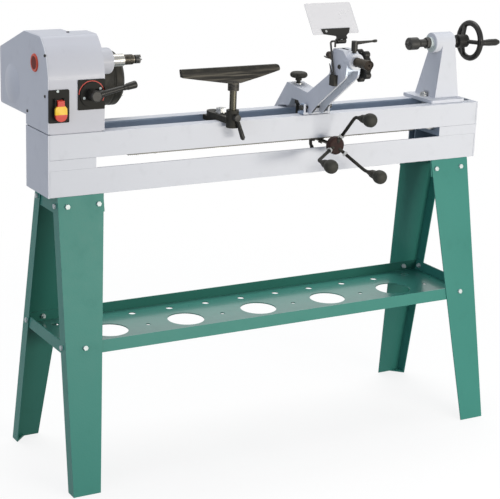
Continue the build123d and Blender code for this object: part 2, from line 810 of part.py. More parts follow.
def belt_cover():
    x0 = X_LEFT
    body = prism_x(belt_profile(), x0, x0 + COVER)
    # pressed dome over the motor sheave
    ball = (DOME_RADIUS ** 2 + DOME_RISE ** 2) / (2 * DOME_RISE)
    cap = Pos(x0 + ball - DOME_RISE, MOTOR_BACK, MOTOR_Z) * Sphere(ball)
    keep = rod_x(DOME_RADIUS, x0 - DOME_RISE - 1, x0 + COVER, MOTOR_BACK, MOTOR_Z)
    body += cap & keep
    body -= Pos(COVER, 0, 0) * (cap & keep)
    return body - rod_x(PLUG_RADIUS - PLUG_LIP + FIT, x0 - 1, x0 + COVER + 1, PLUG_BACK, AXIS + PLUG_RISE)


def access_plug():
    x0 = X_LEFT
    inner = PLUG_RADIUS - PLUG_LIP
    points = [(x0 - 3, 0), (x0 - 3, inner - 3), (x0 - 4, inner), (x0 - 3, PLUG_RADIUS - 1), (x0, PLUG_RADIUS),
              (x0, inner), (x0 + COVER + 3, inner), (x0 + COVER + 3, inner - 3), (x0, inner - 3), (x0, 0)]
    return turned_x(points, PLUG_BACK, AXIS + PLUG_RISE)


def spindle():
    x0 = X_LEFT + SPINDLE_TAIL
    x1 = X_LEFT + HEAD_LENGTH + BOSS_LENGTH + SPINDLE_SHOULDER
    x2 = x1 + NOSE_LENGTH
    depth = x2 - TAPER_DEPTH
    bore = TAPER_TIP - 1
    points = [(x0, bore), (x0, SPINDLE_RADIUS - 1), (x0 + 1, SPINDLE_RADIUS), (x1, SPINDLE_RADIUS),
              (x1, NOSE_RADIUS), (x2 - 1.5, NOSE_RADIUS), (x2, NOSE_RADIUS - 1.5), (x2, TAPER_MOUTH),
              (depth, TAPER_TIP), (depth, bore)]
    return turned_x(points, 0, AXIS)


def spur_centre():
    x2 = X_LEFT + HEAD_LENGTH + BOSS_LENGTH + SPINDLE_SHOULDER + NOSE_LENGTH
    x3 = x2 + SPUR_GAP
    x4 = x3 + SPUR_LENGTH
    root = x4 - SPUR_LENGTH * 0.45
    depth = x2 - TAPER_DEPTH + 4
    slope = (TAPER_MOUTH - TAPER_TIP) / TAPER_DEPTH
    points = [(depth, 0), (depth, TAPER_TIP + 4 * slope - FIT), (x2, TAPER_MOUTH - FIT),
              (x3, TAPER_MOUTH - 1), (x3, SPUR_RADIUS - 1), (x3 + 1, SPUR_RADIUS), (root, SPUR_RADIUS),
              (root, 3), (x4 + 2, 0)]
    body = turned_x(points, 0, AXIS)
    # four driving prongs with slanted backs
    prong = outline([(root - 1, 4), (x4, 4), (x4 - 3, SPUR_RADIUS), (root - 1, SPUR_RADIUS)])
    prong = Pos(0, 1, 0) * extrude(Plane.XZ * prong, amount=2)
    ring = rod_x(SPUR_RADIUS, root - 1, x4 + 1, 0, 0)
    for k in range(4):
        body += Pos(0, 0, AXIS) * (Rot(90 * k, 0, 0) * prong & ring)
    return body


def sheave(rim, belt, bore, hub):
    # two facing cones with a groove for the belt, about X through the origin
    lean = (BELT_WIDE - BELT_NARROW) / 2 / BELT_THICK
    floor = belt - BELT_THICK / 2 - 5

    def half(radius):
        return BELT_NARROW / 2 + BELT_GAP + (radius - belt + BELT_THICK / 2) * lean

    side = half(rim) + SHEAVE_RIM
    return [(-side - hub, bore), (-side - hub, bore + 8), (-side, bore + 8), (-side, rim), (-half(rim), rim),
            (-half(floor), floor), (half(floor), floor), (half(rim), rim), (side, rim), (side, bore)]


def spindle_pulley():
    x = X_LEFT + SHEAVE_CENTRE
    points = sheave(SPINDLE_SHEAVE, SPINDLE_BELT, SPINDLE_RADIUS + FIT, 9)
    return turned_x([(x + a, r) for a, r in points], 0, AXIS)


def motor_pulley():
    x = X_LEFT + SHEAVE_CENTRE
    points = sheave(MOTOR_SHEAVE, MOTOR_BELT, MOTOR_SHAFT, 6)
    body = turned_x([(x + a, r) for a, r in points], MOTOR_BACK, MOTOR_Z)
    return body + rod_x(MOTOR_SHAFT, x - 30, X_LEFT + BELT_BOX + 14, MOTOR_BACK, MOTOR_Z)


def drive_belt():
    # belt of trapezoid section round both sheaves
    span = sqrt(MOTOR_BACK ** 2 + (MOTOR_Z - AXIS) ** 2)
    line = atan2(MOTOR_Z - AXIS, MOTOR_BACK)
    x = X_LEFT + SHEAVE_CENTRE

    def loop(radius_a, radius_b):
        lean = (radius_a - radius_b) / span
        up = pi / 2 - atan2(lean, sqrt(1 - lean * lean))
        ends = []
        for sign in (1, -1):
            a = line + sign * up
            ends.append(((radius_a * cos(a), AXIS + radius_a * sin(a)),
                         (MOTOR_BACK + radius_b * cos(a), MOTOR_Z + radius_b * sin(a))))
        (a1, b1), (a2, b2) = ends
        far_a = (-radius_a * cos(line), AXIS - radius_a * sin(line))
        far_b = (MOTOR_BACK + radius_b * cos(line), MOTOR_Z + radius_b * sin(line))
        arc_a = ThreePointArc(a2, far_a, a1)
        arc_b = ThreePointArc(b1, far_b, b2)
        return make_face([Line(a1, b1), arc_b, Line(b2, a2), arc_a])

    half = BELT_THICK / 2
    outer = loop(SPINDLE_BELT + half, MOTOR_BELT + half)
    inner = loop(SPINDLE_BELT - half, MOTOR_BELT - half)
    narrow = BELT_NARROW / 2
    core = prism_x(outer - inner, x - narrow, x + narrow)
    sides = loop(SPINDLE_BELT + half, MOTOR_BELT + half) - loop(SPINDLE_BELT, MOTOR_BELT)
    middle = (BELT_NARROW + BELT_WIDE) / 4
    body = core + prism_x(sides, x - middle, x + middle)
    return body


def motor():
    x0 = X_LEFT + BELT_BOX
    x1 = X_LEFT + MOTOR_END
    bell = x1 - MOTOR_ROUND
    ring = MOTOR_RADIUS - 4
    points = [(x0, MOTOR_SHAFT + 2), (x0, ring), (x0 + 8, ring), (x0 + 8, MOTOR_RADIUS - 10),
              (x0 + 16, MOTOR_RADIUS - 10), (x0 + 20, MOTOR_RADIUS), (bell - 26, MOTOR_RADIUS),
              (bell - 24, MOTOR_RADIUS - 2), (bell - 20, MOTOR_RADIUS - 2), (bell - 18, MOTOR_RADIUS),
              (bell, MOTOR_RADIUS), (x1 - 5, MOTOR_RADIUS - MOTOR_ROUND * 0.7), (x1, MOTOR_RADIUS * 0.45),
              (x1, 0), (x0 + 20, 0), (x0 + 20, MOTOR_SHAFT + 2)]
    return turned_x(points, MOTOR_BACK, MOTOR_Z)


# Switch and speed control
def switch_plate():
    x = X_LEFT + SWITCH_LEFT + SWITCH_WIDTH / 2
    z = BED_TOP + SWITCH_BOTTOM + SWITCH_HEIGHT / 2
    body = prism_y(Pos(x, z) * RectangleRounded(SWITCH_WIDTH, SWITCH_HEIGHT, 4),
                   Y_FRONT - SWITCH_PLATE, Y_FRONT)
    top = BED_TOP + PADDLE_TOP
    # raised well behind the paddle, with ears for its pin
    front = Y_FRONT - SWITCH_PLATE
    gap = PADDLE_NECK / 2 + CLEAR
    half = gap + WELL_WALL
    well = block(x - half, x + half, front - SWITCH_WELL, front, top - WELL_DROP, top + WELL_RISE)
    well -= block(x - gap, x + gap, front - SWITCH_WELL - 1, front, top - WELL_DROP - 1, top + WELL_RISE + 1)
    body += well
    return body - rod_x(PADDLE_PIN + FIT, x - half - 1, x + half + 1, front - SWITCH_WELL / 2, top)


def switch_paddle():
    x = X_LEFT + SWITCH_LEFT + SWITCH_WIDTH / 2
    top = BED_TOP + PADDLE_TOP
    y1 = Y_FRONT - SWITCH_PLATE - SWITCH_WELL - CLEAR
    neck = PADDLE_NECK / 2
    wide = PADDLE_WIDTH / 2
    knee = top - PADDLE_SHOULDER
    plan = outline([(x - neck, top + 2), (x + neck, top + 2), (x + neck, knee),
                    (x + wide, knee - PADDLE_SHOULDER), (x + wide, top - PADDLE_LENGTH + wide),
                    (x - wide, top - PADDLE_LENGTH + wide),
                    (x - wide, knee - PADDLE_SHOULDER), (x - neck, knee)])
    plan += Pos(x, top - PADDLE_LENGTH + wide) * Circle(wide)
    body = prism_y(plan, y1 - PADDLE_THICK, y1)
    hinge_y = Y_FRONT - SWITCH_PLATE - SWITCH_WELL / 2
    body += block(x - neck, x + neck, y1 - 2, hinge_y, top - 3, top + 2)
    body += rod_x(2 * PADDLE_PIN, x - neck, x + neck, hinge_y, top)
    reach = neck + WELL_WALL - 1
    return body + rod_x(PADDLE_PIN, x - reach, x + reach, hinge_y, top)


def speed_shaft_x():
    return X_LEFT + SPEED_X


def speed_plate():
    x = X_LEFT + SPEED_PLATE_LEFT + SPEED_PLATE_WIDTH / 2
    z = BED_TOP + SPEED_PLATE_BOTTOM + SPEED_PLATE_HEIGHT / 2
    body = prism_y(Pos(x, z) * RectangleRounded(SPEED_PLATE_WIDTH, SPEED_PLATE_HEIGHT, 2),
                   Y_FRONT - SPEED_PLATE, Y_FRONT)
    dial_z = BED_TOP + SPEED_Z
    body += rod_y(SPEED_DIAL, Y_FRONT - SPEED_PLATE - SPEED_DIAL_HEIGHT, Y_FRONT - 1, speed_shaft_x(), dial_z)
    front = Y_FRONT - SPEED_PLATE - SPEED_DIAL_HEIGHT
    return body - rod_y(SPEED_SHAFT + FIT, front - 1, Y_FRONT + 1, speed_shaft_x(), dial_z)


def speed_lever():
    y1 = Y_FRONT - SPEED_PLATE - SPEED_DIAL_HEIGHT - 0.4
    y0 = y1 - SPEED_HUB_HEIGHT
    z = BED_TOP + SPEED_Z
    hub = rod_y(SPEED_HUB, y0, y1, speed_shaft_x(), z)
    body = chamfer(hub.edges().filter_by(GeomType.CIRCLE).sort_by(Axis.Y)[0], 3)
    body += rod_y(SPEED_SHAFT, y1 - 1, Y_FRONT + SPEED_SHAFT_LENGTH, speed_shaft_x(), z)
    # tapered arm out of a socket on the hub, swelling into the grip
    grip = SPEED_ARM_LENGTH
    end = SPEED_ARM_LENGTH + SPEED_GRIP_LENGTH
    arm = [(0, 0), (0, SPEED_ARM_RADIUS + 4), (SPEED_HUB + 10, SPEED_ARM_RADIUS + 4),
           (SPEED_HUB + 12, SPEED_ARM_RADIUS + 1.5), (grip, SPEED_ARM_RADIUS), (grip, SPEED_ARM_RADIUS + 1.5),
           (grip + 7, SPEED_ARM_RADIUS + 1.5), (grip + 11, SPEED_GRIP_RADIUS - 1),
           (end - 3, SPEED_GRIP_RADIUS), (end, SPEED_GRIP_RADIUS - 2), (end, 0)]
    frame = Pos(speed_shaft_x(), y1 - SPEED_HUB_HEIGHT * 0.55, z) * Rot(0, -SPEED_TILT, 0)
    return body + frame * revolve(outline(arm), axis=Axis.X)


# Tool rest
def rest_frame():
    return Pos(X_LEFT + REST_X, Y_FRONT - REST_OUT, 0) * Rot(0, 0, REST_TURN)


def rest_clamp_place():
    turn = REST_TURN * pi / 180
    return (X_LEFT + REST_X - REST_CLAMP * sin(turn), Y_FRONT - REST_OUT + REST_CLAMP * cos(turn))


def rest_base():
    low = BED_TOP + SLIDE
    plan = outline([(-REST_ARM_WIDTH / 2, 0), (REST_ARM_WIDTH / 2, 0), (REST_ARM_END, REST_ARM_LENGTH),
                    (-REST_ARM_END, REST_ARM_LENGTH)])
    plan += Pos(0, REST_ARM_LENGTH) * Circle(REST_ARM_END)
    body = prism_z(plan, low, low + REST_ARM_THICK)
    middle = (REST_SLOT_START + REST_SLOT_END) / 2
    slot = Pos(0, middle) * Rot(0, 0, 90) * SlotCenterToCenter(REST_SLOT_END - REST_SLOT_START, 2 * REST_SLOT)
    body -= prism_z(slot, low - 1, low + REST_ARM_THICK + 1)
    # socket in front of the bed, with a rib up from the arm
    rib_low = low + REST_ARM_THICK - 1
    rib_high = BED_TOP + REST_BOSS_TOP - REST_RIB_DROP
    rib = outline([(0, rib_low), (REST_BOSS + REST_RIB_REACH, rib_low), (0, rib_high)])
    body += prism_x(rib, -REST_RIB / 2, REST_RIB / 2)
    body += rod_z(REST_BOSS, BED_TOP - REST_BOSS_DROP, BED_TOP + REST_BOSS_TOP, 0, 0)
    body -= rod_z(REST_POST + FIT, BED_TOP - REST_BOSS_DROP - 1, BED_TOP + REST_BOSS_TOP + 1, 0, 0)
    body = rest_frame() * body
    x = X_LEFT + REST_X
    y = Y_FRONT - REST_OUT
    return body - rod_y(LOCK_SCREW + FIT, y - REST_BOSS - 1, y, x, BED_TOP + LOCK_RISE)


def clamp_bar(x, length):
    # bar that grips the undersides of both upper rails
    top = WINDOW_TOP - SLIDE
    return block(x - length / 2, x + length / 2, Y_FRONT + CLAMP_FRONT, Y_REAR - CLAMP_END,
                 top - CLAMP_PLATE, top)


def clamp_bolt(x, y, top, bar, flats, height):
    # clamp bar with its bolt, washer and nut on a clamped foot
    body = bar + rod_z(CLAMP_BOLT, WINDOW_TOP - SLIDE - 1, top + height + 4, x, y)
    body += rod_z(flats / 2 + 2, top + SLIDE, top + SLIDE + 2.5, x, y)
    return body + Pos(x, y, top + SLIDE + 2) * hexagon(flats, height)


def rest_clamp():
    x, y = rest_clamp_place()
    bar = clamp_bar(x, CLAMP_LENGTH)
    return clamp_bolt(x, y, BED_TOP + SLIDE + REST_ARM_THICK, bar, CLAMP_NUT_FLATS, CLAMP_NUT)


def rest_guide():
    # block that keeps the clamp bolt straight between the rails
    x, y = rest_clamp_place()
    edge = RAIL_WIDTH + CLEAR
    body = block(x - GUIDE_LENGTH / 2, x + GUIDE_LENGTH / 2, Y_FRONT + edge, Y_REAR - edge,
                 BED_TOP - GUIDE_DEPTH, BED_TOP)
    return body - rod_z(CLAMP_BOLT + FIT, BED_TOP - GUIDE_DEPTH - 1, BED_TOP + 1, x, y)


def rest_post():
    x = X_LEFT + REST_X
    y = Y_FRONT - REST_OUT
    top = BED_TOP + REST_COLLAR_TOP
    body = rod_z(REST_POST, top - REST_POST_LENGTH, top, x, y)
    return chamfer(body.edges().filter_by(GeomType.CIRCLE).sort_by(Axis.Z)[0], 1.5)


def tool_rest():
    x = X_LEFT + REST_X
    y = Y_FRONT - REST_OUT
    top = BED_TOP + REST_TOP
    collar = BED_TOP + REST_COLLAR_TOP
    wide = REST_COLLAR + REST_FLARE
    # front outline of the rest: straight top, lower edge falling to the collar
    right = x + REST_RIGHT
    front = outline([(x - REST_LEFT, top), (x - REST_LEFT, top - REST_LEFT_HEIGHT), (x - wide, collar - 2),
                     (x + wide, collar - 2), (right, top - REST_RIGHT_HEIGHT), (right, top)])
    front = fillet([v for v in front.vertices() if v.X > right - 1], REST_RIGHT_ROUND)
    # end outline: a plate leaning back with a shelf for the hand
    edge = REST_LEDGE / 2
    lean = outline([(y - edge, collar - 3), (y + 5, collar - 3), (y + edge + 6, top - 3), (y + edge + 4, top),
                    (y + edge + 4 - REST_THICK, top), (y - edge + 3, collar + 12)])
    body = prism_y(front, y - REST_LEFT, y + REST_LEFT) & prism_x(lean, x - REST_LEFT, right)
    body += rod_z(REST_COLLAR, BED_TOP + REST_COLLAR_BOTTOM, collar + 1, x, y)
    return body - rod_z(REST_POST + FIT, BED_TOP + REST_COLLAR_BOTTOM - 1, collar + FIT, x, y)


def rest_lock_lever():
    x = X_LEFT + REST_X
    y = Y_FRONT - REST_OUT
    z = BED_TOP + LOCK_RISE
    out = y - REST_BOSS - 0.4
    body = rod_y(LOCK_HUB, out - LOCK_HUB_LENGTH, out, x, z)
    body += rod_y(LOCK_SCREW, out - 1, y - REST_POST - 0.4, x, z)
    end = LOCK_LENGTH
    arm = [(0, 0), (0, LOCK_ARM), (end - 5, LOCK_ARM_END), (end, LOCK_ARM_END - 3), (end, 0)]
    frame = Pos(x, out - LOCK_HUB_LENGTH / 2, z) * Rot(0, -LOCK_TILT, 0)
    return body + frame * revolve(outline(arm), axis=Axis.X)


# Copy carriage
def arm_outline():
    # the saddle reaches down behind the rear rail
    points = [(SADDLE_REAR, -SADDLE_DROP), (SADDLE_CREST_Y, SADDLE_CREST), (VALLEY_Y, VALLEY),
              (ELBOW_Y, ELBOW), (HEAD_REAR_Y, HEAD_CAP), (HEAD_CAP_FRONT_Y, HEAD_CAP),
              (HEAD_FRONT_Y, HEAD_FRONT_TOP), (CHIN_Y, CHIN), (HEEL_Y, HEEL), (TOE_Y, TOE),
              (TOE_FOOT_Y, SADDLE_LIFT), (ARCH_FRONT_Y, SADDLE_LIFT)]
    rest = [(ARCH_FRONT_Y, ARCH - ARCH_ROUND), (ARCH_FRONT_Y + ARCH_ROUND, ARCH),
            (ARCH_REAR_Y - ARCH_ROUND, ARCH), (ARCH_REAR_Y, ARCH_SHOULDER),
            (SADDLE_LEG_Y, SADDLE_LIFT), (SADDLE_LEG_Y, -SADDLE_DROP)]
    face = outline([(y, BED_TOP + z) for y, z in points + rest])
    rounds = [v for v in face.vertices() if v.X < HEAD_REAR_Y + 1 and v.Y > BED_TOP + HEAD_FRONT_TOP - 1]
    face = fillet(rounds, HEAD_ROUND)
    knees = [v for v in face.vertices() if abs(v.Y - BED_TOP - ELBOW) < 1 or abs(v.Y - BED_TOP - CHIN) < 1]
    return fillet(knees, KNEE_ROUND)


def channel_outline():
    # hollow along the front and lower edge of the arm, open to the front
    run_y = HEEL_Y - CHIN_Y
    run_z = HEEL - CHIN
    length = sqrt(run_y ** 2 + run_z ** 2)
    slope = run_z / run_y
    rear = CHIN_Y + CHANNEL_DEPTH
    top = CHIN + CHANNEL_TOP
    end = Y_FRONT + CHANNEL_END_IN

    def floor(y):
        # floor of the channel, at its depth behind the lower edge
        return HEEL + slope * (y - HEEL_Y) + CHANNEL_DEPTH * length / run_y

    points = [(end, -SADDLE_DROP), (end, floor(end)), (rear, floor(rear)), (rear - 4, top),
              (CHIN_Y - 40, top), (CHIN_Y - 40, -SADDLE_DROP)]
    return outline([(y, BED_TOP + z) for y, z in points])


def roller_places():
    return [CX - ROLLER_SPREAD, CX + ROLLER_SPREAD]


def roller_height():
    return BED_TOP + ROLLER_RADIUS + SLIDE


def copier_arm():
    body = prism_x(arm_outline(), CX - ARM_HALF, CX + ARM_HALF)
    # saddle flares towards the rear
    flare = outline([(CX - ARM_HALF, VALLEY_Y), (CX + ARM_HALF, VALLEY_Y), (CX + SADDLE_HALF, SADDLE_REAR),
                     (CX - SADDLE_HALF, SADDLE_REAR)])
    saddle = prism_x(arm_outline(), CX - SADDLE_HALF, CX + SADDLE_HALF)
    body += saddle & prism_z(flare, BED_TOP - SADDLE_DROP, BED_TOP + SADDLE_CREST + 1)
    # pad that slides on the rear rail
    pad_y = Y_REAR - RAIL_WIDTH + SADDLE_PAD_IN
    body += block(CX - SADDLE_PAD, CX + SADDLE_PAD, pad_y, Y_REAR - SADDLE_PAD_IN,
                  BED_TOP + SLIDE, BED_TOP + ARCH_SHOULDER + 1)
    wide = ARM_HALF - CHANNEL_WALL
    body -= prism_x(channel_outline(), CX - wide, CX + wide)
    # collar round the cutter bar
    front = HEAD_FRONT_Y - BAR_BOSS_FRONT
    collar = rod_y(BAR_BOSS, front, front + BAR_BOSS_LENGTH, CX, BAR_Z)
    body += chamfer(collar.edges().filter_by(GeomType.CIRCLE).sort_by(Axis.Y)[0], 2)
    body -= rod_y(BAR_RADIUS + FIT, front - 1, HEAD_REAR_Y + 30, CX, BAR_Z)
    # feed pinion
    room = FEED_FACE / 2 + 1
    body -= rod_x(FEED_PITCH_RADIUS + FEED_TOOTH, CX - room, CX + room, FEED_Y, FEED_Z)
    body -= rod_x(FEED_SHAFT + FIT, CX - ARM_HALF + 4, CX + ARM_HALF + 1, FEED_Y, FEED_Z)
    # clamp stud above the bar
    stud_y = HEAD_FRONT_Y - BAR_BOSS_FRONT + BAR_BOSS_LENGTH / 2
    body -= rod_z(LEVER_STUD + FIT, BAR_Z, BAR_Z + BAR_BOSS + 15, CX, stud_y)
    # foot plate with two ears for the cross pin
    low = BED_TOP + SADDLE_LIFT
    left = CX - EAR_LEFT
    right = CX + EAR_RIGHT
    body += block(left - EAR_THICK, right, Y_FRONT, Y_FRONT + EAR_PLATE_DEPTH, low, BED_TOP + EAR_PLATE)
    for x in (left - EAR_THICK, right - EAR_THICK):
        body += block(x, x + EAR_THICK, Y_FRONT, Y_FRONT + EAR_DEPTH, low, BED_TOP + EAR_TOP)
    body -= rod_x(PIN_RADIUS + FIT, left - EAR_THICK - 1, right + 1, Y_FRONT + PIN_IN, BED_TOP + PIN_HEIGHT)
    # pockets and axle holes of the rollers
    y = roller_front()
    z = roller_height()
    for x in roller_places():
        body -= rod_y(ROLLER_RADIUS + 1, y - 1, y + ROLLER_WIDTH + 1, x, z)
        body -= rod_y(ROLLER_AXLE + FIT, y - ROLLER_STUB, y + ROLLER_WIDTH + ROLLER_STUB, x, z)
    body -= rod_z(SADDLE_SCREW + FIT, BED_TOP, BED_TOP + SADDLE_CREST + 5, CX, SADDLE_KNOB_Y)
    # seat of the knob, level on the sloping top
    return body - rod_z(SADDLE_SEAT, knob_seat(), BED_TOP + SADDLE_CREST + 20, CX, SADDLE_KNOB_Y)


def arm_pin():
    x0 = CX - EAR_LEFT - EAR_THICK
    x1 = CX + EAR_RIGHT
    y = Y_FRONT + PIN_IN
    z = BED_TOP + PIN_HEIGHT
    body = rod_x(PIN_RADIUS, x0 - PIN_HEAD_LENGTH, x1 + PIN_HEAD_LENGTH, y, z)
    body += rod_x(PIN_HEAD, x0 - PIN_HEAD_LENGTH, x0, y, z)
    return body + rod_x(PIN_HEAD, x1, x1 + PIN_HEAD_LENGTH, y, z)


def hung_bracket():
    roof = BED_TOP + ARCH
    half = HUNG_BRACKET / 2
    y0 = HUNG_FRONT_Y
    y1 = HUNG_FRONT_Y + HUNG_DEPTH
    low = PINION_Z - 11
    plan = outline([(PINION_X - half, low + 8), (PINION_X - half + 8, low), (PINION_X + half - 8, low),
                    (PINION_X + half, low + 8), (PINION_X + half, BED_TOP - 6),
                    (CX + ARM_HALF - 2, BED_TOP + 12), (CX + ARM_HALF - 2, roof), (CX - ARM_HALF + 2, roof),
                    (CX - ARM_HALF + 2, roof - 12), (PINION_X - half, BED_TOP - 6)])
    body = prism_y(plan, y0, y1)
    return body - rod_y(SHAFT_RADIUS + FIT, y0 - 1, y1 + 1, PINION_X, PINION_Z)


def roller_front():
    return Y_FRONT + ROLLER_INSET


def carriage_roller(index):
    # roller on the front rail, on a short axle
    x = roller_places()[index]
    y = roller_front()
    z = roller_height()
    body = rod_y(ROLLER_RADIUS, y, y + ROLLER_WIDTH, x, z)
    return body + rod_y(ROLLER_AXLE, y - ROLLER_STUB, y + ROLLER_WIDTH + ROLLER_STUB, x, z)


def knob_seat():
    return BED_TOP + SADDLE_CREST - SADDLE_SEAT_DROP


def carriage_knob():
    # domed hand knob with shallow scallops round its rim
    low = knob_seat() + SADDLE_KNOB_LIFT
    top = low + SADDLE_KNOB_THICK
    rim = SADDLE_KNOB
    half = SADDLE_KNOB_THICK / 2
    side = Line((0, low), (rim - half, low))
    side += ThreePointArc((rim - half, low), (rim, low + half * 0.9), (rim - half, top - 2))
    side += Spline((rim - half, top - 2), (0, top), tangents=[(-1, 0.25), (-1, 0)]) + Line((0, top), (0, low))
    body = Pos(CX, SADDLE_KNOB_Y, 0) * revolve(Plane.XZ * make_face(side), axis=Axis.Z)
    for k in range(SADDLE_KNOB_LOBES):
        a = 2 * pi * k / SADDLE_KNOB_LOBES
        reach = SADDLE_KNOB + SADDLE_KNOB_SCALLOP - SADDLE_KNOB_CUT
        x = CX + reach * cos(a)
        body -= rod_z(SADDLE_KNOB_SCALLOP, low - 1, top + 1, x, SADDLE_KNOB_Y + reach * sin(a))
    body += rod_z(SADDLE_KNOB_STEM, low - 8, low + 1, CX, SADDLE_KNOB_Y)
    body += rod_z(SADDLE_KNOB_STEM - 3, knob_seat() + SLIDE, low, CX, SADDLE_KNOB_Y)
    return body + rod_z(SADDLE_SCREW, WINDOW_TOP - CLAMP_PLATE - 4, low, CX, SADDLE_KNOB_Y)


def carriage_clamp():
    body = clamp_bar(CX, CLAMP_LENGTH)
    body -= rod_z(SADDLE_SCREW + FIT, WINDOW_TOP - CLAMP_PLATE - 5, WINDOW_TOP + 1, CX, SADDLE_KNOB_Y)
    # notch for the drive shaft bracket
    half = HUNG_BRACKET / 2 + CLEAR
    rear = HUNG_FRONT_Y + HUNG_DEPTH + SHAFT_TAIL + CLEAR
    return body - block(PINION_X - half, PINION_X + half, Y_FRONT, rear,
                        WINDOW_TOP - CLAMP_PLATE - 5, WINDOW_TOP + 1)


def carriage_pinion():
    # pinion and its shaft, a tooth up into the rack
    y0 = Y_FRONT + RACK_INSET + (RACK_WIDTH - PINION_WIDTH) / 2
    pitch_radius = PINION_TEETH * RACK_MODULE / 2
    tip = pitch_radius + RACK_MODULE * 0.9
    root = pitch_radius - RACK_MODULE * 1.2
    points = []
    for k in range(PINION_TEETH):
        for turn, radius in ((-0.13, root), (0, tip), (0.13, root)):
            a = pi / 2 + (k + turn) * 2 * pi / PINION_TEETH
            points.append((PINION_X + radius * cos(a), PINION_Z + radius * sin(a)))
    body = prism_y(outline(points), y0, y0 + PINION_WIDTH)
    rear = HUNG_FRONT_Y + HUNG_DEPTH + SHAFT_TAIL
    front = Y_FRONT - HUB_OUT - HUB_THICK
    body += rod_y(SHAFT_RADIUS, front, rear, PINION_X, PINION_Z)
    return body + rod_y(SHAFT_COLLAR, HUNG_FRONT_Y + HUNG_DEPTH + 0.3, rear, PINION_X, PINION_Z)


def hub_front():
    return Y_FRONT - HUB_OUT - HUB_THICK


def handle_angles():
    return [HANDLE_START + 120 * k for k in range(3)]


def handle_frame(angle):
    # local X runs out from the hub, local Y runs forward along its axis
    return Plane(origin=(PINION_X, Y_FRONT - HUB_OUT - HUB_THICK / 2, PINION_Z),
                 x_dir=(cos(angle * pi / 180), 0, sin(angle * pi / 180)),
                 z_dir=Vector(cos(angle * pi / 180), 0, sin(angle * pi / 180)).cross(Vector(0, -1, 0)))


def handle_path():
    start = (HUB_RADIUS * 0.45, HUB_RADIUS * 0.45 * HANDLE_BEND_OUT / HANDLE_BEND_R)
    bend = (HANDLE_BEND_R, HANDLE_BEND_OUT)
    end = (HANDLE_KNOB_R, HANDLE_KNOB_OUT)
    return FilletPolyline(start, bend, end, radius=HANDLE_ROUND)


def carriage_hub():
    body = rod_y(HUB_RADIUS, hub_front(), hub_front() + HUB_THICK, PINION_X, PINION_Z)
    body = chamfer(body.edges().filter_by(GeomType.CIRCLE), 3)
    body -= rod_y(SHAFT_RADIUS + FIT, hub_front() - 1, hub_front() + HUB_THICK + 1, PINION_X, PINION_Z)
    for angle in handle_angles():
        body -= handle_frame(angle) * handle_rod(HANDLE_RADIUS + FIT)
    return body


def handle_rod(radius):
    path = handle_path()
    section = Plane(origin=path @ 0, z_dir=path % 0) * Circle(radius)
    return sweep(section, path=path)


def carriage_handles():
    # each bent rod has a lock nut at the hub
    lead = Vector(HANDLE_BEND_R, HANDLE_BEND_OUT, 0).normalized()
    pieces = []
    for angle in handle_angles():
        rod = handle_rod(HANDLE_RADIUS)
        seat = Plane(origin=lead * (HUB_RADIUS + HANDLE_NUT_OUT), z_dir=lead)
        nut = seat * hexagon(HANDLE_NUT, HANDLE_NUT_HEIGHT)
        pieces.append(handle_frame(angle) * (rod + nut))
    return pieces


def carriage_knobs():
    path = handle_path()
    pieces = []
    for angle in handle_angles():
        tip = Plane(origin=path @ 1, z_dir=path % 1)
        side = [(KNOB_MOUTH, -KNOB_SOCKET), (KNOB_NECK, -KNOB_SOCKET / 3), (KNOB_RADIUS, KNOB_LENGTH * 0.44)]
        ball = Line((0, -KNOB_SOCKET), side[0]) + Line(side[0], side[1])
        ball += Spline(*side[1:], (0, KNOB_LENGTH), tangents=[(1, 1), (-1, 0)])
        ball += Line((0, KNOB_LENGTH), (0, -KNOB_SOCKET))
        knob = revolve(Plane.XZ * make_face(ball), axis=Axis.Z)
        knob -= Pos(0, 0, -KNOB_SOCKET / 2) * Cylinder(HANDLE_RADIUS + FIT, KNOB_SOCKET + CLEAR)
        pieces.append(handle_frame(angle) * tip * knob)
    return pieces


# Cutter slide
def cutter_slide():
    body = rod_y(BAR_RADIUS, BAR_FRONT_Y, BAR_REAR_Y, CX, BAR_Z)
    cap = rod_y(BAR_CAP, BAR_FRONT_Y, BAR_FRONT_Y + BAR_CAP_LENGTH, CX, BAR_Z)
    body += chamfer(cap.edges().filter_by(GeomType.CIRCLE), 1.5)
    body += rod_y(BAR_RADIUS - 1, BAR_REAR_Y - 1, NOSE_END_Y, CX, BAR_Z)
    body -= rod_y(BAR_BORE, BAR_FRONT_Y - 1, BAR_FRONT_Y + BAR_BORE_DEPTH, CX, BAR_Z)
    # rack cut into a flat on the underside
    pitch = 2 * pi * FEED_PITCH_RADIUS / FEED_TEETH
    tip = BAR_Z - FEED_FLAT
    root = tip + FEED_TOOTH
    front = int(FEED_RACK_FRONT / pitch)
    rear = int(FEED_RACK_REAR / pitch)
    points = [(FEED_Y - (front + 0.5) * pitch, tip)]
    for k in range(-front, rear + 1):
        points.append((FEED_Y + k * pitch, root))
        points.append((FEED_Y + (k + 0.5) * pitch, tip))
    points.append((FEED_Y + (rear + 0.5) * pitch, BAR_Z - BAR_RADIUS - 1))
    points.append((FEED_Y - (front + 0.5) * pitch, BAR_Z - BAR_RADIUS - 1))
    body -= prism_x(outline(points), CX - BAR_RADIUS - 1, CX + BAR_RADIUS + 1)
    # slot for the cutter, whose upper face is level with the spindle axis
    low = AXIS - CUTTER_THICK - FIT
    return body - block(CX - BAR_RADIUS, CX + BAR_RADIUS, NOSE_END_Y - CUTTER_SEAT, NOSE_END_Y + 1,
                        low, AXIS + FIT)


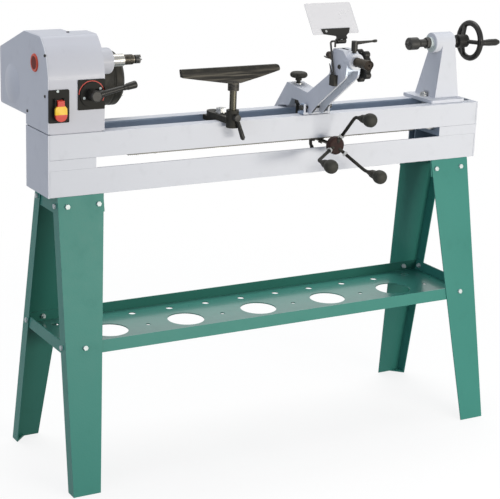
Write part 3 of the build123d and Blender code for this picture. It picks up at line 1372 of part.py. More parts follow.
def cutter_bit():
    y0 = NOSE_END_Y - CUTTER_SEAT
    wide = CUTTER_HALF
    plan = outline([(CX - wide, y0), (CX + wide, y0), (CX + wide, NOSE_END_Y), (CX + 1, CUTTER_TIP_Y),
                    (CX - 1, CUTTER_TIP_Y), (CX - wide, NOSE_END_Y)])
    return prism_z(plan, AXIS - CUTTER_THICK, AXIS)


def feed_pinion():
    tip = FEED_PITCH_RADIUS + FEED_TOOTH / 2 - 0.15
    root = FEED_PITCH_RADIUS - FEED_TOOTH / 2 - 0.3
    points = []
    for k in range(FEED_TEETH):
        for turn, radius in ((-0.14, root), (0, tip), (0.14, root)):
            a = pi / 2 + (k + turn) * 2 * pi / FEED_TEETH
            points.append((FEED_Y + radius * cos(a), FEED_Z + radius * sin(a)))
    body = prism_x(outline(points), CX - FEED_FACE / 2, CX + FEED_FACE / 2)
    end = CX + ARM_HALF + STAR_OUT + STAR_THICK - 2
    return body + rod_x(FEED_SHAFT, CX - ARM_HALF + 5, end, FEED_Y, FEED_Z)


def feed_star():
    x0 = CX + ARM_HALF + STAR_OUT
    x1 = x0 + STAR_THICK
    plan = Pos(FEED_Y, FEED_Z) * Rot(0, 0, 15) * lobed(STAR_RADIUS, STAR_LOBE, STAR_LOBES)
    body = prism_x(plan, x0, x1)
    body = chamfer(body.edges().group_by(Axis.X)[-1], 3)
    # dished outer face and a hub towards the arm
    body -= rod_x(STAR_RADIUS - 8, x1 - 5, x1 + 1, FEED_Y, FEED_Z)
    body += rod_x(STAR_HUB, x1 - 6, x1 + 3, FEED_Y, FEED_Z)
    body += rod_x(STAR_HUB * 0.55, CX + ARM_HALF + SLIDE, x0 + 1, FEED_Y, FEED_Z)
    return body - rod_x(FEED_SHAFT + FIT, x0 - STAR_OUT - 1, x1 - 1.9, FEED_Y, FEED_Z)


def clamp_lever():
    stud_y = HEAD_FRONT_Y - BAR_BOSS_FRONT + BAR_BOSS_LENGTH / 2
    low = BED_TOP + LEVER_BASE
    high = BED_TOP + LEVER_TOP
    body = rod_z(LEVER_STUD, BAR_Z + BAR_RADIUS + 0.3, low + 2, CX, stud_y)
    body += rod_z(LEVER_HUB, low, high, CX, stud_y)
    end = LEVER_LENGTH
    arm = [(0, 0), (0, LEVER_ROOT), (10, LEVER_ROOT - 1), (end - 16, LEVER_TIP - 1.5), (end - 8, LEVER_TIP),
           (end - 2, LEVER_TIP - 0.5), (end, LEVER_TIP - 3), (end, 0)]
    frame = Pos(CX, stud_y, high - LEVER_ROOT) * Rot(0, 0, LEVER_TURN) * Rot(0, -LEVER_RISE, 0)
    return body + frame * revolve(outline(arm), axis=Axis.X)


# Guard
def guard_rod_x():
    return CX - ARM_HALF - ROD_BLOCK_WIDTH / 2


def guard_wire(radius, depth):
    # leaning rod out of its block, turned to the right along the hinge
    x0 = guard_rod_x()
    x1 = x0 + GUARD_SPAN
    low = BED_TOP + ROD_BLOCK_TOP - depth
    top = BED_TOP + GUARD_HINGE
    path = FilletPolyline((x0, GUARD_FOOT_Y, low), (x0, GUARD_Y, top), (x1, GUARD_Y, top), radius=GUARD_ROUND)
    return sweep(Plane(origin=path @ 0, z_dir=path % 0) * Circle(radius), path=path)


def guard_rod():
    # a short leg behind the arm head closes the loop
    top = BED_TOP + GUARD_HINGE
    leg = rod_z(GUARD_ROD, top - GUARD_LEG, top, guard_rod_x() + GUARD_LEG_IN, GUARD_Y)
    return guard_wire(GUARD_ROD, GUARD_FOOT) + leg


def rod_block():
    x1 = CX - ARM_HALF
    x0 = x1 - ROD_BLOCK_WIDTH
    top = BED_TOP + ROD_BLOCK_TOP
    body = block(x0, x1, ROD_BLOCK_FRONT_Y, ROD_BLOCK_REAR_Y, BED_TOP + ROD_BLOCK_BOTTOM, top)
    body = chamfer(body.edges().filter_by(Axis.Z).group_by(Axis.X)[0], 3)
    body -= guard_wire(GUARD_ROD + FIT, GUARD_FOOT)
    # slit for the follower blade
    half = BLADE_THICK / 2 + FIT
    x = guard_rod_x()
    return body - block(x - half, x + half, ROD_BLOCK_REAR_Y - BLADE_WIDTH - FIT, ROD_BLOCK_REAR_Y + 1,
                        top - BLADE_SEAT, top + 1)


def follower_blade():
    x = guard_rod_x()
    top = BED_TOP + ROD_BLOCK_TOP
    tip = BED_TOP + BLADE_TIP
    low = top - BLADE_SEAT + FIT
    rear = ROD_BLOCK_REAR_Y
    front = rear - BLADE_WIDTH
    plan = outline([(front, low), (rear, low), (rear, top), (rear + BLADE_LEAN, tip),
                    (rear + BLADE_LEAN - 2, tip), (front, top + 4)])
    return prism_x(plan, x - BLADE_THICK / 2, x + BLADE_THICK / 2)


def shield_frame():
    # local X along the hinge, local Y up the leaning sheet, local Z away from the work
    return Pos(guard_rod_x() + SHIELD_SHIFT, GUARD_Y, BED_TOP + GUARD_HINGE) * Rot(90 - SHIELD_LEAN, 0, 0)


def shield_bracket():
    # eye on the hinge rod, a tongue, and a tapered strip in front of the sheet
    left = GUARD_EAR_SHIFT - GUARD_EAR / 2
    right = GUARD_EAR_SHIFT + GUARD_EAR / 2
    back = GUARD_ROD + GUARD_EYE
    sheet = back + SHIELD_THICK
    body = rod_x(back, left, right, 0, 0)
    body += block(left, right, 0, SHIELD_BOTTOM - CLEAR, back - STRIP_THICK, sheet + STRIP_THICK)
    low = SHIELD_BOTTOM - STRIP_DROP
    high = low + STRIP_HEIGHT
    shoulder = low + STRIP_HEIGHT * 0.35
    wide = STRIP_WIDTH / 2
    strip = outline([(-wide, high), (-wide + 4, shoulder), (left, low), (right, low), (wide - 8, shoulder),
                     (wide, high)])
    body += prism_z(strip, sheet, sheet + STRIP_THICK)
    body -= rod_x(GUARD_ROD + FIT, left - 1, right + 1, 0, 0)
    return shield_frame() * body


def shield():
    back = GUARD_ROD + GUARD_EYE
    plan = RectangleRounded(SHIELD_WIDTH, SHIELD_HEIGHT, SHIELD_CORNER)
    plan = Pos(0, SHIELD_BOTTOM + SHIELD_HEIGHT / 2) * plan
    return shield_frame() * prism_z(plan, back, back + SHIELD_THICK)


# Tailstock
def tailstock():
    low = BED_TOP + SLIDE
    top = low + TAIL_BASE
    base = block(TX, TX + TAIL_BASE_LENGTH, -TAIL_BASE_FRONT, TAIL_BASE_REAR, low, top)
    base = chamfer(base.edges().filter_by(Axis.Z), 3)
    # column whose left web leans back under the barrel
    x0 = TX + TAIL_FOOT_START
    x1 = TX + TAIL_NECK_START
    half = BARREL_RADIUS - 0.1
    foot = rectangle(x0, x0 + TAIL_FOOT_LENGTH, -TAIL_FOOT_FRONT, TAIL_FOOT_REAR)
    neck = rectangle(x1, x1 + TAIL_NECK_LENGTH, -half, half)
    body = base + ruled(foot, top - 1, neck, AXIS)
    # hollow behind the web, open to the right
    wall = TAIL_WALL
    reach = TX + TAIL_BASE_LENGTH + 1
    foot = rectangle(x0 + wall, reach, -TAIL_FOOT_FRONT + wall, TAIL_FOOT_REAR - wall)
    neck = rectangle(x1 + wall, reach, -half + wall, half - wall)
    body -= ruled(foot, top, neck, AXIS - TAIL_CEILING)
    barrel_x = TX + BARREL_START
    end_x = barrel_x + BARREL_LENGTH
    barrel = rod_x(BARREL_RADIUS, barrel_x, end_x, 0, AXIS)
    body += chamfer(barrel.edges().filter_by(GeomType.CIRCLE), 2)
    # collar and six-sided nut round the quill
    collar_x = barrel_x - BARREL_COLLAR_LENGTH
    body += rod_x(BARREL_COLLAR, collar_x, barrel_x + 1, 0, AXIS)
    body += Pos(collar_x + 1, 0, AXIS) * Rot(0, -90, 0) * hexagon(QUILL_NUT_FLATS, QUILL_NUT + 1)
    body -= rod_x(QUILL_RADIUS + FIT, collar_x - QUILL_NUT - 1, end_x + 1, 0, AXIS)
    # room for the clamp nut in front of the web
    x, y = tail_bolt_place()
    body -= rod_z(TAIL_NUT_ROOM, top, top + TAIL_NUT_HEIGHT, x, y)
    body -= rod_z(CLAMP_BOLT + FIT, low - 1, top + 1, x, y)
    # tongue between the rails
    edge = RAIL_WIDTH + CLEAR
    tongue = block(TX + 20, TX + TAIL_BASE_LENGTH - 20, Y_FRONT + edge, Y_REAR - edge, BED_TOP - 8, low + 1)
    return body + (tongue - rod_z(CLAMP_BOLT + FIT, BED_TOP - 9, low + 2, x, y))


def tail_bolt_place():
    return TX + TAIL_BOLT_X, TAIL_BOLT_Y


def tail_clamp():
    x, y = tail_bolt_place()
    bar = clamp_bar(x + CLAMP_BOLT + 1 - TAIL_CLAMP_LENGTH / 2, TAIL_CLAMP_LENGTH)
    return clamp_bolt(x, y, BED_TOP + SLIDE + TAIL_BASE, bar, TAIL_NUT_FLATS, TAIL_NUT)


def quill_front():
    return TX + BARREL_START - BARREL_COLLAR_LENGTH - QUILL_OUT


def quill():
    x0 = quill_front()
    x1 = x0 + QUILL_LENGTH
    bore = QUILL_SCREW + FIT
    depth = x0 + 30
    points = [(x0, TAPER_MOUTH), (x0, QUILL_RADIUS - 1), (x0 + 1, QUILL_RADIUS), (x1, QUILL_RADIUS),
              (x1, bore), (depth, bore), (depth, TAPER_TIP)]
    return turned_x(points, 0, AXIS)


def live_centre():
    x1 = quill_front() - 1
    x0 = x1 - CENTRE_LENGTH
    tip = x0 - CENTRE_TIP
    shank = x1 + 29
    points = [(tip, 0), (x0, CENTRE_TIP * 0.55), (x0, CENTRE_RADIUS - 3), (x0 + 3, CENTRE_RADIUS),
              (x1 - 8, CENTRE_RADIUS), (x1, CENTRE_RADIUS - 6), (x1, TAPER_MOUTH - FIT),
              (x1 + 1, TAPER_MOUTH - FIT), (shank, TAPER_TIP - FIT), (shank, 0)]
    return turned_x(points, 0, AXIS)


def wheel_start():
    return TX + BARREL_START + BARREL_LENGTH + 0.3


def tail_handwheel():
    x0 = wheel_start()
    x1 = x0 + WHEEL_NECK_LENGTH
    x2 = x1 + WHEEL_HUB_LENGTH
    rim = x2 + WHEEL_DISH
    ring = WHEEL_RADIUS - WHEEL_RIM
    hub = [(x0 - SCREW_LENGTH, 0), (x0 - SCREW_LENGTH, QUILL_SCREW), (x0, QUILL_SCREW), (x0, WHEEL_NECK),
           (x1, WHEEL_NECK), (x1 + 3, WHEEL_HUB), (x2 - 2, WHEEL_HUB), (x2, WHEEL_HUB - 3), (x2, 0)]
    body = turned_x(hub, 0, AXIS)
    # spokes lean out from the hub to the rim
    start = WHEEL_HUB * 0.5
    rise = rim - x2 + 10
    reach = sqrt((ring - start) ** 2 + rise ** 2)
    lean = degrees(atan2(rise, ring - start))
    for k in range(3):
        spoke = Pos(x2 - 10, 0, start) * Rot(0, lean, 0) * Pos(0, 0, reach / 2) * Cylinder(WHEEL_SPOKE, reach)
        body += Pos(0, 0, AXIS) * Rot(WHEEL_TURN + 120 * k, 0, 0) * spoke
    sides = [2 * pi * k / RIM_SIDES for k in range(RIM_SIDES)]
    body += turned_x([(rim + WHEEL_RIM * cos(a), ring + WHEEL_RIM * sin(a)) for a in sides], 0, AXIS)
    # boss and headed pin for the crank grip
    end = rim + WHEEL_RIM + GRIP_LENGTH
    face = rim + WHEEL_RIM
    pin = [(rim - 6, 0), (rim - 6, WHEEL_RIM + 1), (face, WHEEL_RIM + 1), (face, GRIP_PIN),
           (end + 0.5, GRIP_PIN), (end + 0.5, GRIP_PIN + 2.5), (end + 3, GRIP_PIN + 2.5), (end + 3, 0)]
    return body + turned_x(pin, -ring, AXIS)


def tail_grip():
    x0 = wheel_start() + WHEEL_NECK_LENGTH + WHEEL_HUB_LENGTH + WHEEL_DISH + WHEEL_RIM + 0.3
    x1 = x0 + GRIP_LENGTH - 0.1
    points = [(x0, GRIP_PIN + FIT), (x0, GRIP_RADIUS - 3), (x0 + 5, GRIP_RADIUS - 1.5),
              (x0 + 24, GRIP_RADIUS), (x1 - 8, GRIP_RADIUS), (x1 - 2, GRIP_RADIUS - 2),
              (x1, GRIP_RADIUS - 5), (x1, GRIP_PIN + FIT)]
    return turned_x(points, -(WHEEL_RADIUS - WHEEL_RIM), AXIS)


def pieces():
    parts = {}
    base = leg()
    for name, (left, front) in CORNERS.items():
        parts["leg_" + name] = mirrored(base, left, front)
    parts["stand_brackets"] = stand_brackets()
    parts["shelf"] = shelf()
    parts["stand_fasteners"] = stand_fasteners()
    parts["rail_front_upper"] = rail(True, True)
    parts["rail_rear_upper"] = rail(False, True)
    parts["rail_front_lower"] = rail(True, False)
    parts["bed_end_left"] = bed_end(True)
    parts["bed_end_right"] = bed_end(False)
    parts["feed_rack"] = feed_rack()
    parts["headstock_housing"] = headstock_housing()
    parts["belt_cover"] = belt_cover()
    parts["access_plug"] = access_plug()
    parts["spindle_bearings"] = spindle_bearings()
    parts["spindle"] = spindle()
    parts["spindle_pulley"] = spindle_pulley()
    parts["spur_centre"] = spur_centre()
    parts["drive_belt"] = drive_belt()
    parts["motor"] = motor()
    parts["motor_pulley"] = motor_pulley()
    parts["switch_plate"] = switch_plate()
    parts["switch_paddle"] = switch_paddle()
    parts["speed_plate"] = speed_plate()
    parts["speed_lever"] = speed_lever()
    parts["rest_base"] = rest_base()
    parts["rest_guide"] = rest_guide()
    parts["rest_clamp"] = rest_clamp()
    parts["rest_post"] = rest_post()
    parts["tool_rest"] = tool_rest()
    parts["rest_lock_lever"] = rest_lock_lever()
    parts["copier_arm"] = copier_arm()
    parts["hung_bracket"] = hung_bracket()
    parts["arm_pin"] = arm_pin()
    parts["rollers_left"] = carriage_roller(0)
    parts["rollers_right"] = carriage_roller(1)
    parts["carriage_knob"] = carriage_knob()
    parts["carriage_clamp"] = carriage_clamp()
    parts["carriage_pinion"] = carriage_pinion()
    parts["carriage_hub"] = carriage_hub()
    parts["carriage_handles"] = carriage_handles()
    parts["carriage_knobs"] = carriage_knobs()
    parts["cutter_slide"] = cutter_slide()
    parts["cutter_bit"] = cutter_bit()
    parts["feed_pinion"] = feed_pinion()
    parts["feed_star"] = feed_star()
    parts["clamp_lever"] = clamp_lever()
    parts["guard_rod"] = guard_rod()
    parts["rod_block"] = rod_block()
    parts["follower_blade"] = follower_blade()
    parts["shield_bracket"] = shield_bracket()
    parts["shield"] = shield()
    parts["tailstock"] = tailstock()
    parts["tail_clamp"] = tail_clamp()
    parts["quill"] = quill()
    parts["live_centre"] = live_centre()
    parts["tail_handwheel"] = tail_handwheel()
    parts["tail_grip"] = tail_grip()
    return parts


def middle(parts):
    # shift that brings the middle of the overall box over the origin
    boxes = [shape.bounding_box() for shape in parts.values()]
    x = (min(b.min.X for b in boxes) + max(b.max.X for b in boxes)) / 2
    y = (min(b.min.Y for b in boxes) + max(b.max.Y for b in boxes)) / 2
    return Pos(-x, -y, 0)


def placed():
    parts = {name: Compound(shape) if isinstance(shape, list) else shape for name, shape in pieces().items()}
    shift = middle(parts)
    return {name: shift * shape for name, shape in parts.items()}


os.makedirs("parts", exist_ok=True)
for name, shape in placed().items():
    export_step(shape, "parts/" + name + ".step")
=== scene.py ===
import json
from math import cos, pi, radians, sin

import bpy
from mathutils import Matrix, Vector
from mathutils.bvhtree import BVHTree


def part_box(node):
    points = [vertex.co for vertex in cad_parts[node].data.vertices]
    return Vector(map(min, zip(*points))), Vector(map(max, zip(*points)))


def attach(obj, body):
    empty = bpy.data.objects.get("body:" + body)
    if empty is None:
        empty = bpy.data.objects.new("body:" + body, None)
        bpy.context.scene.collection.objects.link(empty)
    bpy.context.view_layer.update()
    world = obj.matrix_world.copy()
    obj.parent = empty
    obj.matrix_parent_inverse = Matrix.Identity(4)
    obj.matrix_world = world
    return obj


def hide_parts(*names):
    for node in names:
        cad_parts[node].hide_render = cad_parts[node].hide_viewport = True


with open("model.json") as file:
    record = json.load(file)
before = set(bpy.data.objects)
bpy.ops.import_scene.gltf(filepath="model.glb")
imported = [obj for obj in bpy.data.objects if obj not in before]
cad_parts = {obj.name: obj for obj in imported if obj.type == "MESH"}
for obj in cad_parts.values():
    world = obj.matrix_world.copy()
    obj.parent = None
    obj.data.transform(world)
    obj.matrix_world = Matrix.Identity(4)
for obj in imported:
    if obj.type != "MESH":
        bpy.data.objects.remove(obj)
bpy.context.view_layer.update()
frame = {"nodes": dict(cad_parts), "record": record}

# Lengths are in millimetres and angles in degrees, unless a comment says otherwise. A bed point is measured from the
# top front left corner of the bed: x along it, y to the rear, z up.
MM = 0.001
bed_low, bed_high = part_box("bed_end_left")
BED = Vector((bed_low.x, bed_low.y, bed_high.z))
AXIS_Y = 79.0
AXIS_Z = 178.0
CARRIAGE_X = 838.0

RIGHT = (1, 0, 0)
LEFT = (-1, 0, 0)
BACK = (0, 1, 0)
FRONT = (0, -1, 0)
UP = (0, 0, 1)
DOWN = (0, 0, -1)

BODY_OF = {node: body for body, nodes in frame["record"]["behaviour"]["bodies"].items() for node in nodes}
SLOT_OF = {sub["node"]: sub["material_slot"] for sub in frame["record"]["subparts"]}


def bed(x, y, z):
    """A bed point as a place in the shared frame, in metres."""
    return BED + Vector((x, y, z)) * MM


def within(point, low, high):
    return all(a < value < b for a, value, b in zip(low, point, high))


# Shader sums: a wire is an output socket that can be added and multiplied
class Wire:
    def __init__(self, sheet, socket):
        self.sheet = sheet
        self.socket = socket

    def sum(self, operation, first, second):
        return self.sheet.node("ShaderNodeMath", {"operation": operation}, {0: first, 1: second})

    def __add__(self, other):
        return self.sum("ADD", self, other)

    def __radd__(self, other):
        return self.sum("ADD", other, self)

    def __mul__(self, other):
        return self.sum("MULTIPLY", self, other)

    def __rmul__(self, other):
        return self.sum("MULTIPLY", other, self)

    def larger(self, other):
        return self.sum("MAXIMUM", self, other)


class NodeSheet:
    """A node tree that is filled node by node."""

    def __init__(self, tree):
        self.tree = tree
        tree.nodes.clear()

    def node(self, kind, settings=(), sockets=(), out=0):
        made = self.tree.nodes.new(kind)
        for name, value in dict(settings).items():
            setattr(made, name, value)
        for name, value in dict(sockets).items():
            if isinstance(value, Wire):
                self.tree.links.new(value.socket, made.inputs[name])
            else:
                made.inputs[name].default_value = value
        return Wire(self, made.outputs[out] if made.outputs else None)

    def ray(self, name):
        return self.node("ShaderNodeLightPath", out=name)

    def blend(self, factor, first, second):
        return self.node("ShaderNodeMix", {"data_type": "RGBA"}, {0: factor, 6: first, 7: second}, out=2)


class Finish(NodeSheet):
    """A surface finish: every pattern is laid out on Object coordinates, in metres."""

    INPUTS = {"colour": "Base Color", "roughness": "Roughness", "metal": "Metallic", "coat": "Coat Weight",
              "coat_roughness": "Coat Roughness", "alpha": "Alpha", "normal": "Normal",
              "specular": "Specular IOR Level"}

    def __init__(self, name):
        self.material = bpy.data.materials.new(name)
        self.material.use_nodes = True
        super().__init__(self.material.node_tree)
        self.place = self.node("ShaderNodeTexCoord", out="Object")

    def stretched(self, scale):
        return self.node("ShaderNodeVectorMath", {"operation": "MULTIPLY"}, {0: self.place, 1: scale})

    def noise(self, scale, detail=2.0, vector=None):
        sockets = {"Vector": vector or self.place, "Scale": scale, "Detail": detail}
        return self.node("ShaderNodeTexNoise", {}, sockets)

    def step(self, value, start, end):
        sockets = {"Value": value, "From Min": start, "From Max": end}
        return self.node("ShaderNodeMapRange", {"interpolation_type": "SMOOTHSTEP"}, sockets)

    def relief(self, height, strength, depth):
        return self.node("ShaderNodeBump", {}, {"Strength": strength, "Distance": depth, "Height": height})

    def close(self, **values):
        sockets = {self.INPUTS[key]: value for key, value in values.items()}
        shader = self.node("ShaderNodeBsdfPrincipled", {}, sockets)
        self.node("ShaderNodeOutputMaterial", {}, {"Surface": shader})
        return self


def tone(red, green, blue):
    """A linear colour from 0 to 255 screen values."""
    def straight(value):
        value = value / 255
        return value / 12.92 if value <= 0.04045 else ((value + 0.055) / 1.055) ** 2.4
    return straight(red), straight(green), straight(blue), 1.0


# Kinds of finish: noise scales are per metre, and relief depths in metres
def paint(name, deep, pale, roughness, gloss, coat=0.0, peel_scale=420.0, peel_strength=0.10):
    """Sprayed enamel with a faint orange peel, slow changes of shade and a trace of grime."""
    finish = Finish(name)
    cloud = finish.noise(4.0, 3.0)
    peel = finish.noise(peel_scale)
    grime = finish.noise(26.0, 5.0)
    dirt = tuple(0.6 * value for value in deep[:3]) + (1,)
    colour = finish.blend(cloud, deep, pale)
    colour = finish.blend(0.10 * finish.step(grime, 0.55, 0.75), colour, dirt)
    return finish.close(colour=colour, roughness=roughness + 0.10 * grime + 0.06 * peel, coat=coat,
                        coat_roughness=0.12, specular=gloss, normal=finish.relief(peel, peel_strength, 0.0005))


def cast(name, deep, pale, roughness, gloss, depth):
    """Painted casting: a sandy skin under a matt coat."""
    finish = Finish(name)
    sand = finish.noise(330.0, 4.0)
    lumps = finish.noise(70.0, 3.0)
    colour = finish.blend(finish.step(finish.noise(46.0, 5.0), 0.35, 0.68), deep, pale)
    skin = 0.6 * sand + 0.4 * lumps
    return finish.close(colour=colour, roughness=roughness + 0.16 * sand, specular=gloss,
                        normal=finish.relief(skin, 0.30, depth))


def moulded(name, deep, pale, roughness, gloss):
    """Moulded plastic with a fine satin grain."""
    finish = Finish(name)
    grain = finish.noise(900.0)
    cloud = finish.noise(30.0, 3.0)
    return finish.close(colour=finish.blend(cloud, deep, pale), roughness=roughness + 0.10 * cloud, specular=gloss,
                        normal=finish.relief(grain, 0.08, 0.0002))


def turned(name, deep, pale, roughness, axis):
    """Machined steel with the fine rings of the cutting tool across an axis."""
    finish = Finish(name)
    scale = [40.0, 40.0, 40.0]
    scale["XYZ".index(axis)] = 2600.0
    rings = finish.noise(1.0, 2.0, finish.stretched(tuple(scale)))
    stain = finish.noise(35.0, 4.0)
    return finish.close(colour=finish.blend(stain, deep, pale), metal=1.0, roughness=roughness + 0.16 * rings,
                        normal=finish.relief(rings, 0.12, 0.0002))


def plated(name, deep, pale, roughness, metal=1.0):
    """Plated fasteners with a slightly uneven bright skin."""
    finish = Finish(name)
    stain = finish.noise(120.0, 4.0)
    return finish.close(colour=finish.blend(stain, deep, pale), metal=metal, roughness=roughness + 0.18 * stain,
                        normal=finish.relief(finish.noise(700.0), 0.06, 0.0002))


def highlight_streaked(name, deep, pale, roughness, gloss):
    """Black casting with pale streaks along its length, which are painted highlights."""
    finish = Finish(name)
    streak = finish.noise(1.0, 3.0, finish.stretched((7.0, 150.0, 210.0)))
    sand = finish.noise(330.0, 4.0)
    colour = finish.blend(finish.step(streak, 0.42, 0.68), deep, pale)
    return finish.close(colour=colour, roughness=roughness + 0.14 * sand, specular=gloss,
                        normal=finish.relief(0.5 * sand + 0.5 * streak, 0.28, 0.0006))


def clear_sheet(name, deep, pale):
    """Clear plastic sheet with a thin haze and upright scuffs."""
    finish = Finish(name)
    haze = finish.noise(14.0, 4.0)
    scuff = finish.noise(1.0, 3.0, finish.stretched((500.0, 60.0, 60.0)))
    return finish.close(colour=finish.blend(haze, deep, pale), alpha=0.37 + 0.06 * haze,
                        roughness=0.10 + 0.12 * scuff, coat=0.4)


# Stand: the enamel lies thicker, with a coarser peel, and shines most on the shelf's floor
GREEN = paint("green_enamel", tone(52, 120, 109), tone(60, 130, 119), roughness=0.36, gloss=0.19, peel_scale=190.0,
              peel_strength=0.35)
# Painted shade: a darker green for faces in the shade under the bed, inside the shelf's rear lip and the rear left leg
SHADE_GREEN = paint("green_painted_shade", tone(37, 92, 82), tone(44, 101, 91), roughness=0.34, gloss=0.19,
                    peel_scale=190.0, peel_strength=0.35)
SHELF_GREEN = paint("green_shelf_enamel", tone(54, 122, 111), tone(62, 132, 121), roughness=0.22, gloss=0.55, coat=0.35,
                    peel_scale=190.0, peel_strength=0.25)
# Bed, headstock and carriage
# Painted shade: a blue-grey for faces in the shade of the rails and of the arm's ears
SHADED_SLATE = paint("slate_painted_shade", tone(158, 172, 190), tone(165, 179, 197), roughness=0.44, gloss=0.20)
GREY = paint("grey_enamel", tone(200, 203, 210), tone(206, 209, 216), roughness=0.40, gloss=0.25, coat=0.06)
# Painted shade: a darker blue-grey for the hollows inside the bed ends
DEEP_SHADE = paint("dark_painted_shade", tone(118, 132, 148), tone(126, 140, 156), roughness=0.44, gloss=0.20)
# Painted light: a paler, bluer grey for the shaded channel of the arm
CHANNEL_LIT_GREY = paint("grey_channel_painted_light", tone(222, 232, 246), tone(228, 238, 250), roughness=0.40, gloss=0.25,
                     coat=0.06)
HEAD_GREY = paint("grey_head_enamel", tone(188, 190, 198), tone(194, 196, 204), roughness=0.38, gloss=0.25, coat=0.06)
# Black castings and plastics
BLACK_CAST = cast("black_casting", tone(31, 31, 27), tone(50, 48, 42), roughness=0.50, gloss=0.22, depth=0.0006)
# Painted highlights: pale streaks along the tool rest's face
REST_STREAKED_HIGHLIGHT_BLACK = highlight_streaked("black_casting_painted_highlights", tone(28, 27, 24), tone(88, 84, 75), roughness=0.42, gloss=0.25)
BLACK_PLASTIC = moulded("black_plastic", tone(27, 27, 25), tone(34, 34, 31), roughness=0.34, gloss=0.26)
PLATE_BLACK = moulded("black_plate_plastic", tone(31, 31, 29), tone(39, 39, 36), roughness=0.50, gloss=0.10)
KNOB_BLACK = moulded("satin_knob_plastic", tone(40, 40, 35), tone(48, 48, 42), roughness=0.56, gloss=0.26)
# Switch and plug
RED_PLASTIC = moulded("red_plastic", tone(190, 46, 28), tone(202, 54, 34), roughness=0.34, gloss=0.30)
PLUG_RED = moulded("orange_red_plastic", tone(208, 72, 46), tone(218, 82, 54), roughness=0.36, gloss=0.30)
# Painted shade: a dark red for the inside of the plug's finger slot
SLOT_SHADE_RED = moulded("red_plastic_painted_slot_shade", tone(96, 26, 18), tone(112, 32, 22), roughness=0.50, gloss=0.15)
YELLOW_PLASTIC = moulded("yellow_plastic", tone(232, 186, 44), tone(239, 195, 54), roughness=0.36, gloss=0.30)
# Steel and iron
NOSE_BROWN = cast("oiled_brown_steel", tone(40, 34, 29), tone(54, 46, 39), roughness=0.46, gloss=0.16, depth=0.0003)
BROWN_CAST = cast("brown_casting", tone(34, 20, 18), tone(48, 29, 25), roughness=0.46, gloss=0.14, depth=0.0005)
BRIGHT = turned("bright_turned_steel", tone(150, 149, 145), tone(182, 181, 176), roughness=0.20, axis="X")
DARK = turned("dark_turned_steel", tone(66, 65, 61), tone(86, 85, 80), roughness=0.34, axis="X")
NOSE_STEEL = turned("dark_thread_steel", tone(78, 75, 69), tone(108, 104, 96), roughness=0.36, axis="X")
BAR_STEEL = turned("dark_bar_steel", tone(58, 54, 48), tone(76, 71, 64), roughness=0.34, axis="Y")
POST_STEEL = turned("oiled_post_steel", tone(62, 61, 53), tone(80, 78, 68), roughness=0.30, axis="Z")
BLACK_OXIDE = cast("black_oxide_steel", tone(33, 33, 31), tone(44, 43, 40), roughness=0.36, gloss=0.42, depth=0.0002)
ZINC = plated("zinc_plating", tone(160, 162, 162), tone(192, 193, 192), roughness=0.26)
DULL_ZINC = plated("dull_zinc_plating", tone(176, 186, 186), tone(190, 199, 199), roughness=0.44, metal=0.25)
WHEEL_BLACK = cast("handwheel_black", tone(21, 21, 20), tone(32, 31, 29), roughness=0.34, gloss=0.30, depth=0.0004)
RUBBER = moulded("belt_rubber", tone(26, 26, 26), tone(34, 34, 33), roughness=0.62, gloss=0.30)
CLEAR = clear_sheet("clear_sheet", tone(198, 197, 201), tone(206, 205, 209))
FINISH_OF = {"green_sheet": GREEN, "grey_paint": GREY, "black_cast": BLACK_CAST, "black_plastic": BLACK_PLASTIC,
             "red_plastic": RED_PLASTIC, "bright_steel": BRIGHT, "dark_steel": DARK, "zinc": ZINC, "rubber": RUBBER,
             "clear_sheet": CLEAR}

# Modelling helpers. Weld distances are in metres
SOLID_WELD = 0.00002
PIECE_WELD = 0.000005
THREAD_WELD = 0.000002
TOUCH = 0.1
FLAT_ANGLE = 0.6
EDGE_ANGLE = 32
SMOOTH_ANGLE = 38


def put_down():
    if bpy.context.object and bpy.context.object.mode != "OBJECT":
        bpy.ops.object.mode_set(mode="OBJECT")
    bpy.ops.object.select_all(action="DESELECT")


def take(piece):
    put_down()
    piece.select_set(True)
    bpy.context.view_layer.objects.active = piece


def put_away(model):
    bpy.data.objects.remove(model, do_unlink=True)


def apply_modifier(piece, kind, **settings):
    take(piece)
    made = piece.modifiers.new(kind.lower(), kind)
    for name, value in settings.items():
        setattr(made, name, value)
    bpy.ops.object.modifier_apply(modifier=made.name)


def round_edges(piece, width, segments=2, angle=EDGE_ANGLE):
    apply_modifier(piece, "BEVEL", width=width * MM, segments=segments, limit_method="ANGLE",
                   angle_limit=radians(angle))


def even_shading(piece):
    """Lets the large faces of a piece rule its shading, so that flat sides stay flat."""
    apply_modifier(piece, "WEIGHTED_NORMAL", mode="FACE_AREA", weight=80, keep_sharp=True)


def settle(piece):
    """Shades a piece again after its faces have been cut."""
    take(piece)
    bpy.ops.mesh.customdata_custom_splitnormals_clear()
    bpy.ops.object.shade_smooth_by_angle(angle=radians(SMOOTH_ANGLE))
    even_shading(piece)


def finish_piece(piece, body, finish):
    take(piece)
    bpy.ops.object.transform_apply(location=True, rotation=True, scale=True)
    bpy.ops.object.shade_smooth_by_angle(angle=radians(SMOOTH_ANGLE))
    piece.data.materials.clear()
    piece.data.materials.append(finish.material)
    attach(piece, body)
    return piece


